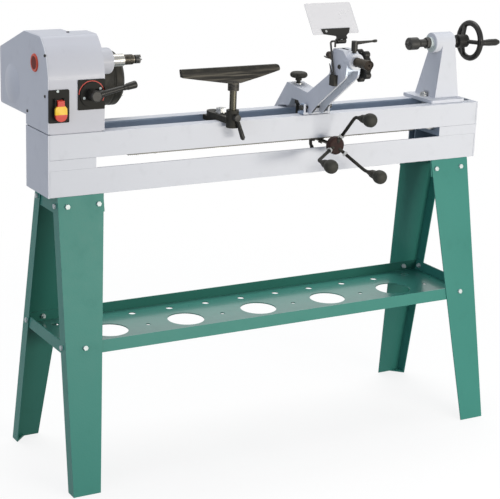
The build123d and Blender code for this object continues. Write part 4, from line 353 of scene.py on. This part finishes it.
def dressed(node, finish, edge):
    """A copy of a solid whose edges are rounded to catch the light."""
    put_down()
    piece = bpy.data.objects.new(node + "_dressed", frame["nodes"][node].data.copy())
    bpy.context.scene.collection.objects.link(piece)
    take(piece)
    bpy.ops.object.mode_set(mode="EDIT")
    bpy.ops.mesh.select_all(action="SELECT")
    bpy.ops.mesh.remove_doubles(threshold=SOLID_WELD)
    bpy.ops.mesh.dissolve_limited(angle_limit=radians(FLAT_ANGLE))
    bpy.ops.object.mode_set(mode="OBJECT")
    round_edges(piece, edge)
    finish_piece(piece, BODY_OF[node], finish)
    even_shading(piece)
    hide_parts(node)
    return piece


def touched(piece, finish, test):
    """Gives a second finish to the faces whose middle, in bed millimetres, and normal pass a test."""
    piece.data.materials.append(finish.material)
    index = len(piece.data.materials) - 1
    for face in piece.data.polygons:
        if test((face.center - BED) / MM, face.normal):
            face.material_index = index


def pick(piece, kind, test):
    """Selects the vertices, edges or faces whose points all pass a test, given in millimetres."""
    bpy.ops.object.mode_set(mode="EDIT")
    bpy.context.tool_settings.mesh_select_mode = (kind == "VERT", kind == "EDGE", kind == "FACE")
    bpy.ops.mesh.select_all(action="DESELECT")
    bpy.ops.object.mode_set(mode="OBJECT")
    mesh = piece.data
    inside = [test(vertex.co / MM) for vertex in mesh.vertices]
    if kind == "VERT":
        for vertex in mesh.vertices:
            vertex.select = inside[vertex.index]
    else:
        for item in mesh.edges if kind == "EDGE" else mesh.polygons:
            item.select = all(inside[index] for index in item.vertices)
    bpy.ops.object.mode_set(mode="EDIT")


def pull(x, y, z):
    bpy.ops.mesh.extrude_region_move(TRANSFORM_OT_translate={"value": (x * MM, y * MM, z * MM)})


def close_up(piece):
    bpy.ops.mesh.select_all(action="SELECT")
    bpy.ops.mesh.remove_doubles(threshold=PIECE_WELD)
    bpy.ops.mesh.normals_make_consistent(inside=False)
    bpy.ops.object.mode_set(mode="OBJECT")
    return piece


def split_at(piece, heights):
    """Cuts the faces of a piece along level lines, in bed millimetres."""
    take(piece)
    bpy.ops.object.mode_set(mode="EDIT")
    for height in heights:
        bpy.ops.mesh.select_all(action="SELECT")
        bpy.ops.mesh.bisect(plane_co=bed(0, 0, height), plane_no=UP)
    bpy.ops.object.mode_set(mode="OBJECT")


def fatten(piece, amount):
    take(piece)
    bpy.ops.object.mode_set(mode="EDIT")
    bpy.ops.mesh.select_all(action="SELECT")
    bpy.ops.transform.shrink_fatten(value=amount * MM)
    bpy.ops.object.mode_set(mode="OBJECT")


def slit(piece, low, high, turn=0.0):
    """Cuts a square slot into a dressed piece."""
    put_down()
    centre = (bed(*low) + bed(*high)) / 2
    bpy.ops.mesh.primitive_cube_add(size=1, location=centre, rotation=(radians(turn), 0, 0))
    cutter = bpy.context.object
    cutter.scale = (Vector(high) - Vector(low)) * MM
    bpy.ops.object.transform_apply(location=True, rotation=True, scale=True)
    round_edges(cutter, 1.5, 3)
    apply_modifier(piece, "BOOLEAN", operation="DIFFERENCE", object=cutter, solver="EXACT")
    put_away(cutter)
    settle(piece)


# Small pieces are modelled once at the origin, standing on the XY plane, and then copied to their places
def pierced(outer, outer_sides, inner, inner_sides, height, depth, edge=0.4):
    """A disc or nut with a round or six sided hole, open below where the hole is as deep as the piece."""
    put_down()
    bpy.ops.mesh.primitive_circle_add(vertices=outer_sides, radius=outer * MM)
    piece = bpy.context.object
    bpy.ops.object.mode_set(mode="EDIT")
    bpy.ops.mesh.primitive_circle_add(vertices=inner_sides, radius=inner * MM)
    bpy.ops.mesh.select_all(action="SELECT")
    bpy.ops.mesh.bridge_edge_loops()
    middle = (outer * cos(pi / outer_sides) + inner) / 2
    pick(piece, "EDGE", lambda p: p.xy.length > middle)
    pull(0, 0, -height)
    if depth < height:
        bpy.ops.mesh.edge_face_add()
    pick(piece, "EDGE", lambda p: p.xy.length < middle)
    pull(0, 0, -depth)
    if depth < height:
        bpy.ops.mesh.edge_face_add()
    else:
        pick(piece, "EDGE", lambda p: p.z < -height / 2)
        bpy.ops.mesh.bridge_edge_loops()
    close_up(piece)
    for vertex in piece.data.vertices:
        vertex.co.z += height * MM
    round_edges(piece, edge, 2, 50)
    return piece


def helix(radius, pitch, length):
    """A raised thread that winds up along Z."""
    put_down()
    bpy.ops.mesh.primitive_circle_add(vertices=3, radius=pitch * 0.55 * MM, rotation=(pi / 2, pi / 2, 0))
    piece = bpy.context.object
    piece.location = (radius * MM, 0, 0)
    bpy.ops.object.transform_apply(location=True, rotation=True)
    apply_modifier(piece, "SCREW", axis="Z", screw_offset=pitch * MM, iterations=int(length / pitch), steps=28,
                   render_steps=28, use_merge_vertices=True, merge_threshold=THREAD_WELD)
    bpy.ops.object.mode_set(mode="EDIT")
    bpy.ops.mesh.select_all(action="SELECT")
    bpy.ops.mesh.fill_holes(sides=4)
    return close_up(piece)


def copy_to(model, name, place, facing, body, finish, turn=0.0):
    """A copy of a small piece with its foot at a bed point and its top towards a direction."""
    put_down()
    piece = bpy.data.objects.new(name, model.data.copy())
    bpy.context.scene.collection.objects.link(piece)
    spin = Matrix.Rotation(radians(turn), 4, "Z")
    aim = Vector(facing).to_track_quat("Z", "Y").to_matrix().to_4x4()
    piece.matrix_world = Matrix.Translation(bed(*place)) @ aim @ spin
    return finish_piece(piece, body, finish)


def copy_on(model, name, node, start, heading, finish, turn=0.0):
    """A copy of a small piece on the first surface of a node that a line from a bed point meets."""
    mesh = DRESSED[node].data
    tree = BVHTree.FromPolygons([v.co for v in mesh.vertices], [f.vertices for f in mesh.polygons])
    spot, normal = tree.ray_cast(bed(*start), Vector(heading).normalized())[:2]
    place = (spot - BED) / MM
    return copy_to(model, name, place, normal, BODY_OF[node], finish, turn)


# Solids that keep their shape and get softened edges: the nodes by the width of the rounding, and by a finish of
# their own where the slot's finish isn't the right one
SEAM_EDGE = 1.3
PLAIN_EDGE = 0.8
NODES_BY_EDGE = {
    2.2: ("rest_base",),
    2.0: ("headstock_housing", "tailstock", "copier_arm"),
    1.6: ("feed_star",),
    1.5: ("motor", "hung_bracket"),
    SEAM_EDGE: ("rail_front_upper", "bed_end_left", "bed_end_right"),
    1.2: ("belt_cover", "tool_rest"),
    1.0: ("tail_handwheel",),
    0.7: ("leg_front_left", "leg_front_right", "leg_rear_left", "leg_rear_right"),
    0.6: ("stand_brackets",),
    0.5: ("shelf", "shield", "spindle_pulley", "motor_pulley", "drive_belt"),
    0.4: ("stand_fasteners", "quill", "live_centre", "spindle", "spindle_bearings"),
    0.3: ("guard_rod", "spur_centre", "rest_post", "carriage_handles"),
    0.2: ("feed_rack", "feed_pinion", "carriage_pinion", "follower_blade", "cutter_bit")}
NODES_BY_FINISH = (
    (BLACK_OXIDE, ("arm_pin", "rollers_left", "rollers_right", "guard_rod", "follower_blade", "quill", "live_centre",
                   "spur_centre")),
    (HEAD_GREY, ("headstock_housing",)),
    (PLUG_RED, ("access_plug",)),
    (BROWN_CAST, ("carriage_hub",)),
    (SHELF_GREEN, ("shelf",)),
    (BLACK_CAST, ("rod_block",)),
    (BAR_STEEL, ("cutter_slide",)),
    (POST_STEEL, ("rest_post",)),
    (REST_STREAKED_HIGHLIGHT_BLACK, ("tool_rest",)),
    (PLATE_BLACK, ("switch_plate", "speed_plate")),
    (KNOB_BLACK, ("carriage_knobs", "carriage_knob")),
    (DULL_ZINC, ("stand_fasteners",)),
    (WHEEL_BLACK, ("tail_handwheel",)))
EDGE_OF = {node: edge for edge, nodes in NODES_BY_EDGE.items() for node in nodes}
OWN_FINISH = {node: finish for finish, nodes in NODES_BY_FINISH for node in nodes}
FOLDED = "rail_front_lower"
DRESSED = {node: dressed(node, OWN_FINISH.get(node, FINISH_OF[slot]), EDGE_OF.get(node, PLAIN_EDGE))
           for node, slot in SLOT_OF.items() if node != FOLDED}


def folded_rail(node, wall):
    """The lower rail as folded plate: a front web and a bottom flange, open above and behind."""
    low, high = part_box(node)
    put_down()
    bpy.ops.mesh.primitive_cube_add(size=1, location=(low + high) / 2)
    rail = bpy.context.object
    rail.name = node + "_dressed"
    rail.scale = high - low
    bpy.ops.object.transform_apply(location=True, rotation=True, scale=True)
    for axis, side in ((2, high), (1, high), (0, low), (0, high)):
        level = side[axis] / MM
        pick(rail, "FACE", lambda p: abs(p[axis] - level) < TOUCH)
        bpy.ops.mesh.delete(type="FACE")
    bpy.ops.object.mode_set(mode="OBJECT")
    apply_modifier(rail, "SOLIDIFY", thickness=wall * MM, offset=-1, use_even_offset=True)
    round_edges(rail, SEAM_EDGE)
    finish_piece(rail, BODY_OF[node], GREY)
    even_shading(rail)
    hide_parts(node)
    return rail


DRESSED[FOLDED] = folded_rail(FOLDED, 5.0)

# Shelf: matt edges round a glossy floor, and painted shade, a darker green, inside its rear lip and inside the rear
# left leg
touched(DRESSED["shelf"], GREEN, lambda p, n: n.z < 0.7)
touched(DRESSED["shelf"], SHADE_GREEN, lambda p, n: n.y < -0.7 and p.y > AXIS_Y)
touched(DRESSED["leg_rear_left"], SHADE_GREEN, lambda p, n: n.y < -0.7)

# Bed: painted shade, a blue-grey, on the inner face of the rear rail, and a darker one inside both ends
HOLLOW_LOW = (3, 3, -172)
HOLLOW_HIGH = (1431, 155, -2)
touched(DRESSED["rail_rear_upper"], SHADED_SLATE, lambda p, n: n.y < -0.9)
for end in ("bed_end_left", "bed_end_right"):
    touched(DRESSED[end], DEEP_SHADE, lambda p, n: within(p, HOLLOW_LOW, HOLLOW_HIGH))

# Cutter bar: a tapered nose, and oiled brown steel on the nose and on the front cap
BAR_Z = 185.0
NOSE_TAPER = 0.72
NOSE_LENGTH = 6.0
NOSE_BROWN_START = -100.0
slide = DRESSED["cutter_slide"]
nose_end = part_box("cutter_slide")[1].y / MM
take(slide)
pick(slide, "VERT", lambda p: p.y > nose_end - NOSE_LENGTH)
bpy.ops.transform.resize(value=(NOSE_TAPER, 1, NOSE_TAPER), center_override=bed(CARRIAGE_X, 0, BAR_Z))
bpy.ops.object.mode_set(mode="OBJECT")
touched(slide, NOSE_BROWN, lambda p, n: p.y > NOSE_BROWN_START or n.y < -0.6)

# Pinion shaft: its end in the hub is as brown as the hub
SHAFT_END = -58.0
touched(DRESSED["carriage_pinion"], BROWN_CAST, lambda p, n: p.y < SHAFT_END)

# Tool rest: the top edge stays black, without the painted highlight streaks
REST_EDGE = 149.5
rest = DRESSED["tool_rest"]
split_at(rest, (REST_EDGE,))
touched(rest, BLACK_CAST, lambda p, n: p.z > REST_EDGE)

# Switch paddle: red tab, yellow band and red stop
BAND_LOW = 58.0
BAND_HIGH = 80.0
paddle = DRESSED["switch_paddle"]
split_at(paddle, (BAND_LOW, BAND_HIGH))
touched(paddle, YELLOW_PLASTIC, lambda p, n: BAND_LOW < p.z < BAND_HIGH)

# Tailstock: bright collar and dark nut round the quill
COLLAR_START = 1287.5
COLLAR_END = 1297.5
COLLAR_RADIUS = 17.6
NUT_BOTTOM = 150.0


def on_collar(p, n):
    return COLLAR_START < p.x < COLLAR_END and Vector((p.y - AXIS_Y, p.z - AXIS_Z)).length < COLLAR_RADIUS


touched(DRESSED["tailstock"], DULL_ZINC, on_collar)
touched(DRESSED["tailstock"], BLACK_OXIDE, lambda p, n: p.x < COLLAR_START and p.z > NUT_BOTTOM)

# Spindle nose: darker steel with a raised thread
NOSE_START = 254.5
THREAD_START = 257.0
touched(DRESSED["spindle"], NOSE_STEEL, lambda p, n: p.x > NOSE_START)
nose_thread = helix(radius=12.6, pitch=3.2, length=28.0)
copy_to(nose_thread, "spindle_nose_thread", (THREAD_START, AXIS_Y, AXIS_Z), RIGHT, BODY_OF["spindle"], NOSE_STEEL)
put_away(nose_thread)

# Finger slot in the red plug, with painted shade: its inside is a darker red
PLUG_RIM = 11.0
PLUG_WALL = 1.2
PLUG_DEPTH = 2.4
PLUG_LIP = 0.8
PLUG_FACE = 0.02
PLUG_SHAPE = (1, 0.42, 0.95)
plug = DRESSED["access_plug"]
plug_low, plug_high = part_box("access_plug")
plug_middle = (plug_low + plug_high) / 2
take(plug)
pick(plug, "FACE", lambda p: p.x < plug_low.x / MM + PLUG_FACE)
bpy.ops.mesh.inset(thickness=PLUG_RIM * MM)
bpy.ops.transform.resize(value=PLUG_SHAPE, center_override=plug_middle)
bpy.ops.mesh.inset(thickness=PLUG_WALL * MM)
pull(PLUG_DEPTH, 0, 0)
bpy.ops.object.mode_set(mode="OBJECT")
settle(plug)
slot_middle = (plug_middle - BED) / MM
slot_start = (plug_low.x - BED.x) / MM + PLUG_LIP
touched(plug, SLOT_SHADE_RED, lambda p, n: p.x > slot_start and (p - slot_middle).yz.length < PLUG_RIM)

# Screws of the headstock and the rack: dark ones in the cover and the top, bright ones in the rack and the plates
flat_screw = pierced(outer=4.2, outer_sides=24, inner=2.0, inner_sides=6, height=2.2, depth=1.5)
for count, (y, z) in enumerate(((17.0, 211.0), (18.5, 102.5), (145.0, 41.0))):
    copy_on(flat_screw, f"cover_screw_{count}", "belt_cover", (-60, y, z), RIGHT, BLACK_OXIDE)
copy_on(flat_screw, "head_top_screw", "headstock_housing", (100, 100, 300), DOWN, BLACK_OXIDE)
for count, x in enumerate((268, 324, 953, 1007)):
    copy_on(flat_screw, f"rack_screw_{count}", "feed_rack", (x, 8.5, -140), UP, ZINC)
put_away(flat_screw)
plate_screw = pierced(outer=3.7, outer_sides=28, inner=1.9, inner_sides=6, height=1.8, depth=1.4)
copy_on(plate_screw, "switch_plate_screw", "switch_plate", (26.5, -60, 118.5), BACK, DULL_ZINC)
for count, (x, z) in enumerate(((101.5, 96.0), (148.5, 119.0))):
    copy_on(plate_screw, f"dial_screw_{count}", "speed_plate", (x, -60, z), BACK, DULL_ZINC, turn=15)
for name, x, z in (("shield_strip_screw", 793, 259), ("shield_hinge_screw", 839, 236)):
    copy_on(plate_screw, name, "shield_bracket", (x, -300, z), BACK, ZINC)
put_away(plate_screw)
arm_bolt = pierced(outer=6.4, outer_sides=32, inner=3.4, inner_sides=6, height=3.0, depth=2.4)
copy_on(arm_bolt, "arm_side_bolt", "copier_arm", (700, -151, 165.5), RIGHT, BLACK_OXIDE)
put_away(arm_bolt)


def speed_arc(radius, growth, thickness, lowest):
    """Red arc printed round the upper side of the speed dial, and down to a lowest point on the right."""
    put_down()
    bpy.ops.mesh.primitive_circle_add(vertices=90, radius=radius * MM)
    arc = bpy.context.object
    pick(arc, "VERT", lambda p: p.y < lowest or (p.y < 0 and p.x < 0))
    bpy.ops.mesh.delete(type="VERT")
    bpy.ops.mesh.select_all(action="SELECT")
    bpy.ops.mesh.extrude_edges_move()
    bpy.ops.transform.resize(value=(growth, growth, 1), center_override=(0, 0, 0))
    bpy.ops.mesh.select_all(action="SELECT")
    pull(0, 0, thickness)
    return close_up(arc)


DIAL_X = 125.0
DIAL_Z = 104.0
DIAL_RISE = 4.0
arc = speed_arc(radius=36.0, growth=1.055, thickness=0.5, lowest=-18)
dial_plate = (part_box("speed_plate")[0].y - BED.y) / MM + DIAL_RISE
copy_to(arc, "speed_dial_arc", (DIAL_X, dial_plate, DIAL_Z), FRONT, BODY_OF["speed_plate"], RED_PLASTIC)
put_away(arc)

# Fuller handle rods and lock lever, and a slightly thinner cutter bar, which keeps clear of its bore
handles = DRESSED["carriage_handles"]
fatten(handles, 0.9)
fatten(DRESSED["rest_lock_lever"], 1.0)
fatten(slide, -0.2)

# Capstan: bright lock nuts at the roots of the handles, told from the rods by their small faces
HUB_LOW, HUB_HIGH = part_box("carriage_hub")
HUB = (HUB_LOW + HUB_HIGH) / 2
NUT_FACE = 26.0
NUT_NEAR = 33.0
NUT_FAR = 44.0
handles.data.materials.append(ZINC.material)
for face in handles.data.polygons:
    corners = [handles.data.vertices[index].co for index in face.vertices]
    spread = max((a - b).length for a in corners for b in corners)
    if spread < NUT_FACE * MM and NUT_NEAR * MM < (face.center - HUB).length < NUT_FAR * MM:
        face.material_index = 1

# Rise of each step of a ferrule, and how much narrower it ends
FERRULE_RADIUS = 13.0
FERRULE_STEPS = ((14.0, 0.97), (11.0, 0.90), (0.8, 0.76), (8.0, 0.96), (1.0, 0.82), (7.0, 0.92))


def ferrule():
    """Stepped metal collar that holds a ball knob on its rod."""
    put_down()
    bpy.ops.mesh.primitive_circle_add(vertices=36, radius=FERRULE_RADIUS * MM, fill_type="NGON")
    piece = bpy.context.object
    pick(piece, "FACE", lambda p: True)
    for rise, scale in FERRULE_STEPS:
        pull(0, 0, rise)
        bpy.ops.transform.resize(value=(scale, scale, 1), center_override=(0, 0, 0))
    close_up(piece)
    round_edges(piece, 0.4, 2, 20)
    return piece


# A handle runs out from the hub, bends to the front, and ends in the ball knob that its ferrule holds
HANDLE_START = 75
HANDLE_LEAN = 4.0
HANDLE_RUN = 57.0
KNOB_REACH = 100.0
KNOB_OUT = 117.0
KNOB_SEAT = 15.8
FERRULE_SEAT = 13.0
collar = ferrule()
for count in range(3):
    angle = radians(HANDLE_START + 120 * count)
    outward = Vector((cos(angle), 0, sin(angle)))
    lead = (HANDLE_LEAN * outward + Vector((0, -HANDLE_RUN, 0))).normalized()
    ball = (HUB - BED) / MM + KNOB_REACH * outward + Vector((0, -KNOB_OUT, 0)) + KNOB_SEAT * lead
    foot = ball - FERRULE_SEAT * lead
    copy_to(collar, f"knob_ferrule_{count}", foot, -lead, BODY_OF["carriage_knobs"], BLACK_CAST)
put_away(collar)

# Clamp slit along the top of the arm's head, with painted shade inside: its walls are black
SLIT_LOW = (833, -161, 203)
SLIT_HIGH = (843, -121, 225)
SLIT_SHADE_LOW = (832, -162, 202.5)
SLIT_SHADE_HIGH = (844, -120, 300)
arm = DRESSED["copier_arm"]
slit(arm, SLIT_LOW, SLIT_HIGH)
touched(arm, BLACK_OXIDE, lambda p, n: within(p, SLIT_SHADE_LOW, SLIT_SHADE_HIGH) and n.z < 0.9)

# Toe of the arm: painted shade, a blue-grey, on the ears and along its foot, and a black patch of painted shade on its
# front. The channel above it gets painted light, a paler grey
TOE_TOP = 36.0
TOE_FOOT = 9.5
TOE_BACK = 24.0
TOE_LEFT = 812.0
TOE_RIGHT = 866.0
CHANNEL_LEFT = 819.0
CHANNEL_RIGHT = 857.0
SHADE_PATCH_LOW = 9.0
SHADE_PATCH_RIGHT = 864.0
SHADE_PATCH_BACK = -8.0


def in_shade(p, n):
    return p.z < TOE_FOOT and p.y < TOE_BACK or p.z < TOE_TOP and not TOE_LEFT < p.x < TOE_RIGHT


def in_channel(p, n):
    return CHANNEL_LEFT < p.x < CHANNEL_RIGHT and n.y < -0.3 and n.z < 0 and 40 < p.z < 165


def on_shade_patch(p, n):
    return SHADE_PATCH_LOW < p.z < TOE_TOP and n.y < -0.4 and TOE_LEFT < p.x < SHADE_PATCH_RIGHT and p.y < SHADE_PATCH_BACK


split_at(arm, (TOE_TOP,))
settle(arm)
touched(arm, SHADED_SLATE, in_shade)
touched(arm, CHANNEL_LIT_GREY, in_channel)
touched(arm, BLACK_OXIDE, on_shade_patch)

# Seat ring under the saddle knob and nut of the arm's pin
ring = pierced(outer=12.6, outer_sides=40, inner=9.9, inner_sides=40, height=5.0, depth=5.0)
copy_to(ring, "saddle_seat_ring", (CARRIAGE_X, 100, 72), UP, BODY_OF["copier_arm"], ZINC)
put_away(ring)
pin_nut = pierced(outer=8.2, outer_sides=6, inner=5.2, inner_sides=32, height=5.5, depth=5.5)
copy_to(pin_nut, "arm_pin_nut", (888, 8, 22), RIGHT, BODY_OF["arm_pin"], ZINC, turn=20)
put_away(pin_nut)


def clamp_hook():
    """Bent tab that hangs from the carriage clamp bar."""
    put_down()
    bpy.ops.mesh.primitive_cube_add(size=1, location=bed(852.5, 41.0, -84.0))
    hook = bpy.context.object
    hook.scale = Vector((9.0, 5.0, 8.0)) * MM
    bpy.ops.object.transform_apply(location=True, rotation=True, scale=True)
    foot = bed(0, 0, -88.0).z / MM
    pick(hook, "FACE", lambda p: p.z < foot + TOUCH)
    pull(0.5, 0, -9.0)
    pull(4.0, 0, -6.0)
    bpy.ops.transform.resize(value=(1.25, 1, 1), center_override=bed(857, 41, -103))
    pull(1.5, 0, -7.5)
    close_up(hook)
    round_edges(hook, PLAIN_EDGE)
    hook.name = "clamp_hook"
    return finish_piece(hook, BODY_OF["carriage_clamp"], BLACK_OXIDE)


clamp_hook()

# Motor: bands over the end bells, cooling slots, tie bolts and a bearing cap
MOTOR_Y = 257.0
MOTOR_Z = 97.0
RIGHT_OF_MOTOR = 340
VENT_CIRCLE = 42
VENT_LENGTH = 26
VENT_WIDTH = 7
VENT_START = 312
VENT_END = 324
BOLT_CIRCLE = 59
band = pierced(outer=79.2, outer_sides=72, inner=76.0, inner_sides=72, height=5.0, depth=5.0)
for count, x in enumerate((122, 158)):
    copy_to(band, f"motor_band_{count}", (x, MOTOR_Y, MOTOR_Z), RIGHT, BODY_OF["motor"], BLACK_CAST)
put_away(band)
for count in range(8):
    turn = 22.5 + 45 * count
    y = MOTOR_Y + VENT_CIRCLE * cos(radians(turn))
    z = MOTOR_Z + VENT_CIRCLE * sin(radians(turn))
    slit(DRESSED["motor"], (VENT_START, y - VENT_LENGTH / 2, z - VENT_WIDTH / 2),
         (VENT_END, y + VENT_LENGTH / 2, z + VENT_WIDTH / 2), turn)
tie_bolt = pierced(outer=5.5, outer_sides=6, inner=2.6, inner_sides=24, height=4.0, depth=1.2)
for count in range(4):
    angle = radians(45 + 90 * count)
    spot = (RIGHT_OF_MOTOR, MOTOR_Y + BOLT_CIRCLE * cos(angle), MOTOR_Z + BOLT_CIRCLE * sin(angle))
    copy_on(tie_bolt, f"motor_tie_bolt_{count}", "motor", spot, LEFT, ZINC)
put_away(tie_bolt)
cap = pierced(outer=21.0, outer_sides=56, inner=7.0, inner_sides=32, height=4.0, depth=2.5, edge=0.8)
copy_on(cap, "motor_bearing_cap", "motor", (RIGHT_OF_MOTOR, MOTOR_Y, MOTOR_Z), LEFT, BLACK_CAST)
put_away(cap)

# Camera, floor and light. Places and sizes of lamps and floor are in metres, the camera's place is a bed point
CAMERA_PLACE = (-1518.12, -3697.64, 853.24)
CAMERA_TURN = (73.04, -1.74, -28.87)
FOCAL_PIXELS = 1518.99
PICTURE_WIDTH = 500
PICTURE_HEIGHT = 499
OPTICAL_CENTRE = (228.87, 269.55)
SENSOR = 36.0
FLOOR_RADIUS = 14
FLOOR_DROP = -0.0005
# Share of white glow near the object, where its shadow falls, and the radii between which it grows to full white
FLOOR_GLOW = 0.84
GLOW_START = 0.9
GLOW_END = 2.4
# Grey of the floor as it lights the object, and as the camera sees it
FLOOR_SHADE = 0.28
FLOOR_SEEN = 0.90
# Strength and tint of the world as it lights the object
SKY_LIGHT = 0.36
SKY_TINT = (0.88, 0.97, 1.10, 1)
WHITE = (1, 1, 1, 1)


def photo_camera():
    put_down()
    bpy.ops.object.camera_add(location=bed(*CAMERA_PLACE), rotation=[radians(a) for a in CAMERA_TURN])
    camera = bpy.context.object
    camera.name = "photo_camera"
    camera.data.sensor_width = SENSOR
    camera.data.lens = FOCAL_PIXELS * SENSOR / PICTURE_WIDTH
    camera.data.shift_x = (PICTURE_WIDTH / 2 - OPTICAL_CENTRE[0]) / PICTURE_WIDTH
    camera.data.shift_y = (OPTICAL_CENTRE[1] - PICTURE_HEIGHT / 2) / PICTURE_WIDTH
    camera.data.clip_end = 60
    bpy.context.scene.camera = camera


def pale_floor():
    put_down()
    bpy.ops.mesh.primitive_circle_add(vertices=64, radius=FLOOR_RADIUS, fill_type="NGON",
                                      location=(0, 0, FLOOR_DROP))
    floor = bpy.context.object
    floor.name = "pale_floor"
    bpy.ops.object.transform_apply(location=True)
    finish = Finish("pale_floor_paint")
    reach = finish.node("ShaderNodeVectorMath", {"operation": "LENGTH"}, {0: finish.place}, out="Value")
    shine = FLOOR_GLOW + (1 - FLOOR_GLOW) * finish.step(reach, GLOW_START, GLOW_END)
    seen = finish.ray("Is Camera Ray") * shine
    seen = seen.larger(finish.ray("Is Glossy Ray")).larger(finish.ray("Is Transmission Ray"))
    tint = FLOOR_SHADE + (FLOOR_SEEN - FLOOR_SHADE) * finish.ray("Is Camera Ray")
    shade = finish.node("ShaderNodeCombineColor", {}, {0: tint, 1: tint, 2: tint})
    matt = finish.node("ShaderNodeBsdfDiffuse", {}, {"Color": shade})
    white = finish.node("ShaderNodeEmission", {}, {"Color": WHITE, "Strength": 1.0})
    both = finish.node("ShaderNodeMixShader", {}, {0: seen, 1: matt, 2: white})
    finish.node("ShaderNodeOutputMaterial", {}, {"Surface": both})
    floor.data.materials.append(finish.material)


def white_world():
    """A world that is white where it is seen or mirrored, and gives a low cool light."""
    world = bpy.data.worlds.new("studio")
    world.use_nodes = True
    sheet = NodeSheet(world.node_tree)
    seen = sheet.ray("Is Camera Ray").larger(sheet.ray("Is Glossy Ray")).larger(sheet.ray("Is Transmission Ray"))
    strength = SKY_LIGHT + (1 - SKY_LIGHT) * seen
    glow = sheet.node("ShaderNodeBackground", {}, {"Color": sheet.blend(seen, SKY_TINT, WHITE), "Strength": strength})
    sheet.node("ShaderNodeOutputWorld", {}, {"Surface": glow})
    bpy.context.scene.world = world


def far_lamp(name, travel, energy, angle, colour):
    """A soft lamp whose light travels in one direction."""
    put_down()
    turn = Vector(travel).to_track_quat("-Z", "Y").to_euler()
    bpy.ops.object.light_add(type="SUN", location=(1, -2, 3), rotation=turn)
    lamp = bpy.context.object
    lamp.name = name
    lamp.data.energy = energy
    lamp.data.angle = radians(angle)
    lamp.data.color = colour


def front_softbox(place, target, width, height, power, colour):
    """A long soft box in front, level with the bed, that falls off towards the feet of the stand."""
    put_down()
    turn = (Vector(target) - Vector(place)).to_track_quat("-Z", "Y").to_euler()
    bpy.ops.object.light_add(type="AREA", location=place, rotation=turn)
    lamp = bpy.context.object
    lamp.name = "front_softbox"
    lamp.visible_camera = False
    lamp.data.shape = "RECTANGLE"
    lamp.data.size = width
    lamp.data.size_y = height
    lamp.data.energy = power
    lamp.data.color = colour


photo_camera()
pale_floor()
white_world()
far_lamp("top_softbox", travel=(-0.10, -0.30, -0.95), energy=2.0, angle=50, colour=(1.0, 0.98, 0.95))
far_lamp("left_fill", travel=(0.88, 0.42, -0.20), energy=0.56, angle=40, colour=(0.91, 0.95, 1.14))
front_softbox(place=(0.92, -3.3, 0.97), target=(0.18, 0, 0.80), width=2.2, height=0.55, power=97,
              colour=(1.0, 0.945, 0.85))
bpy.context.scene.view_settings.view_transform = "Standard"
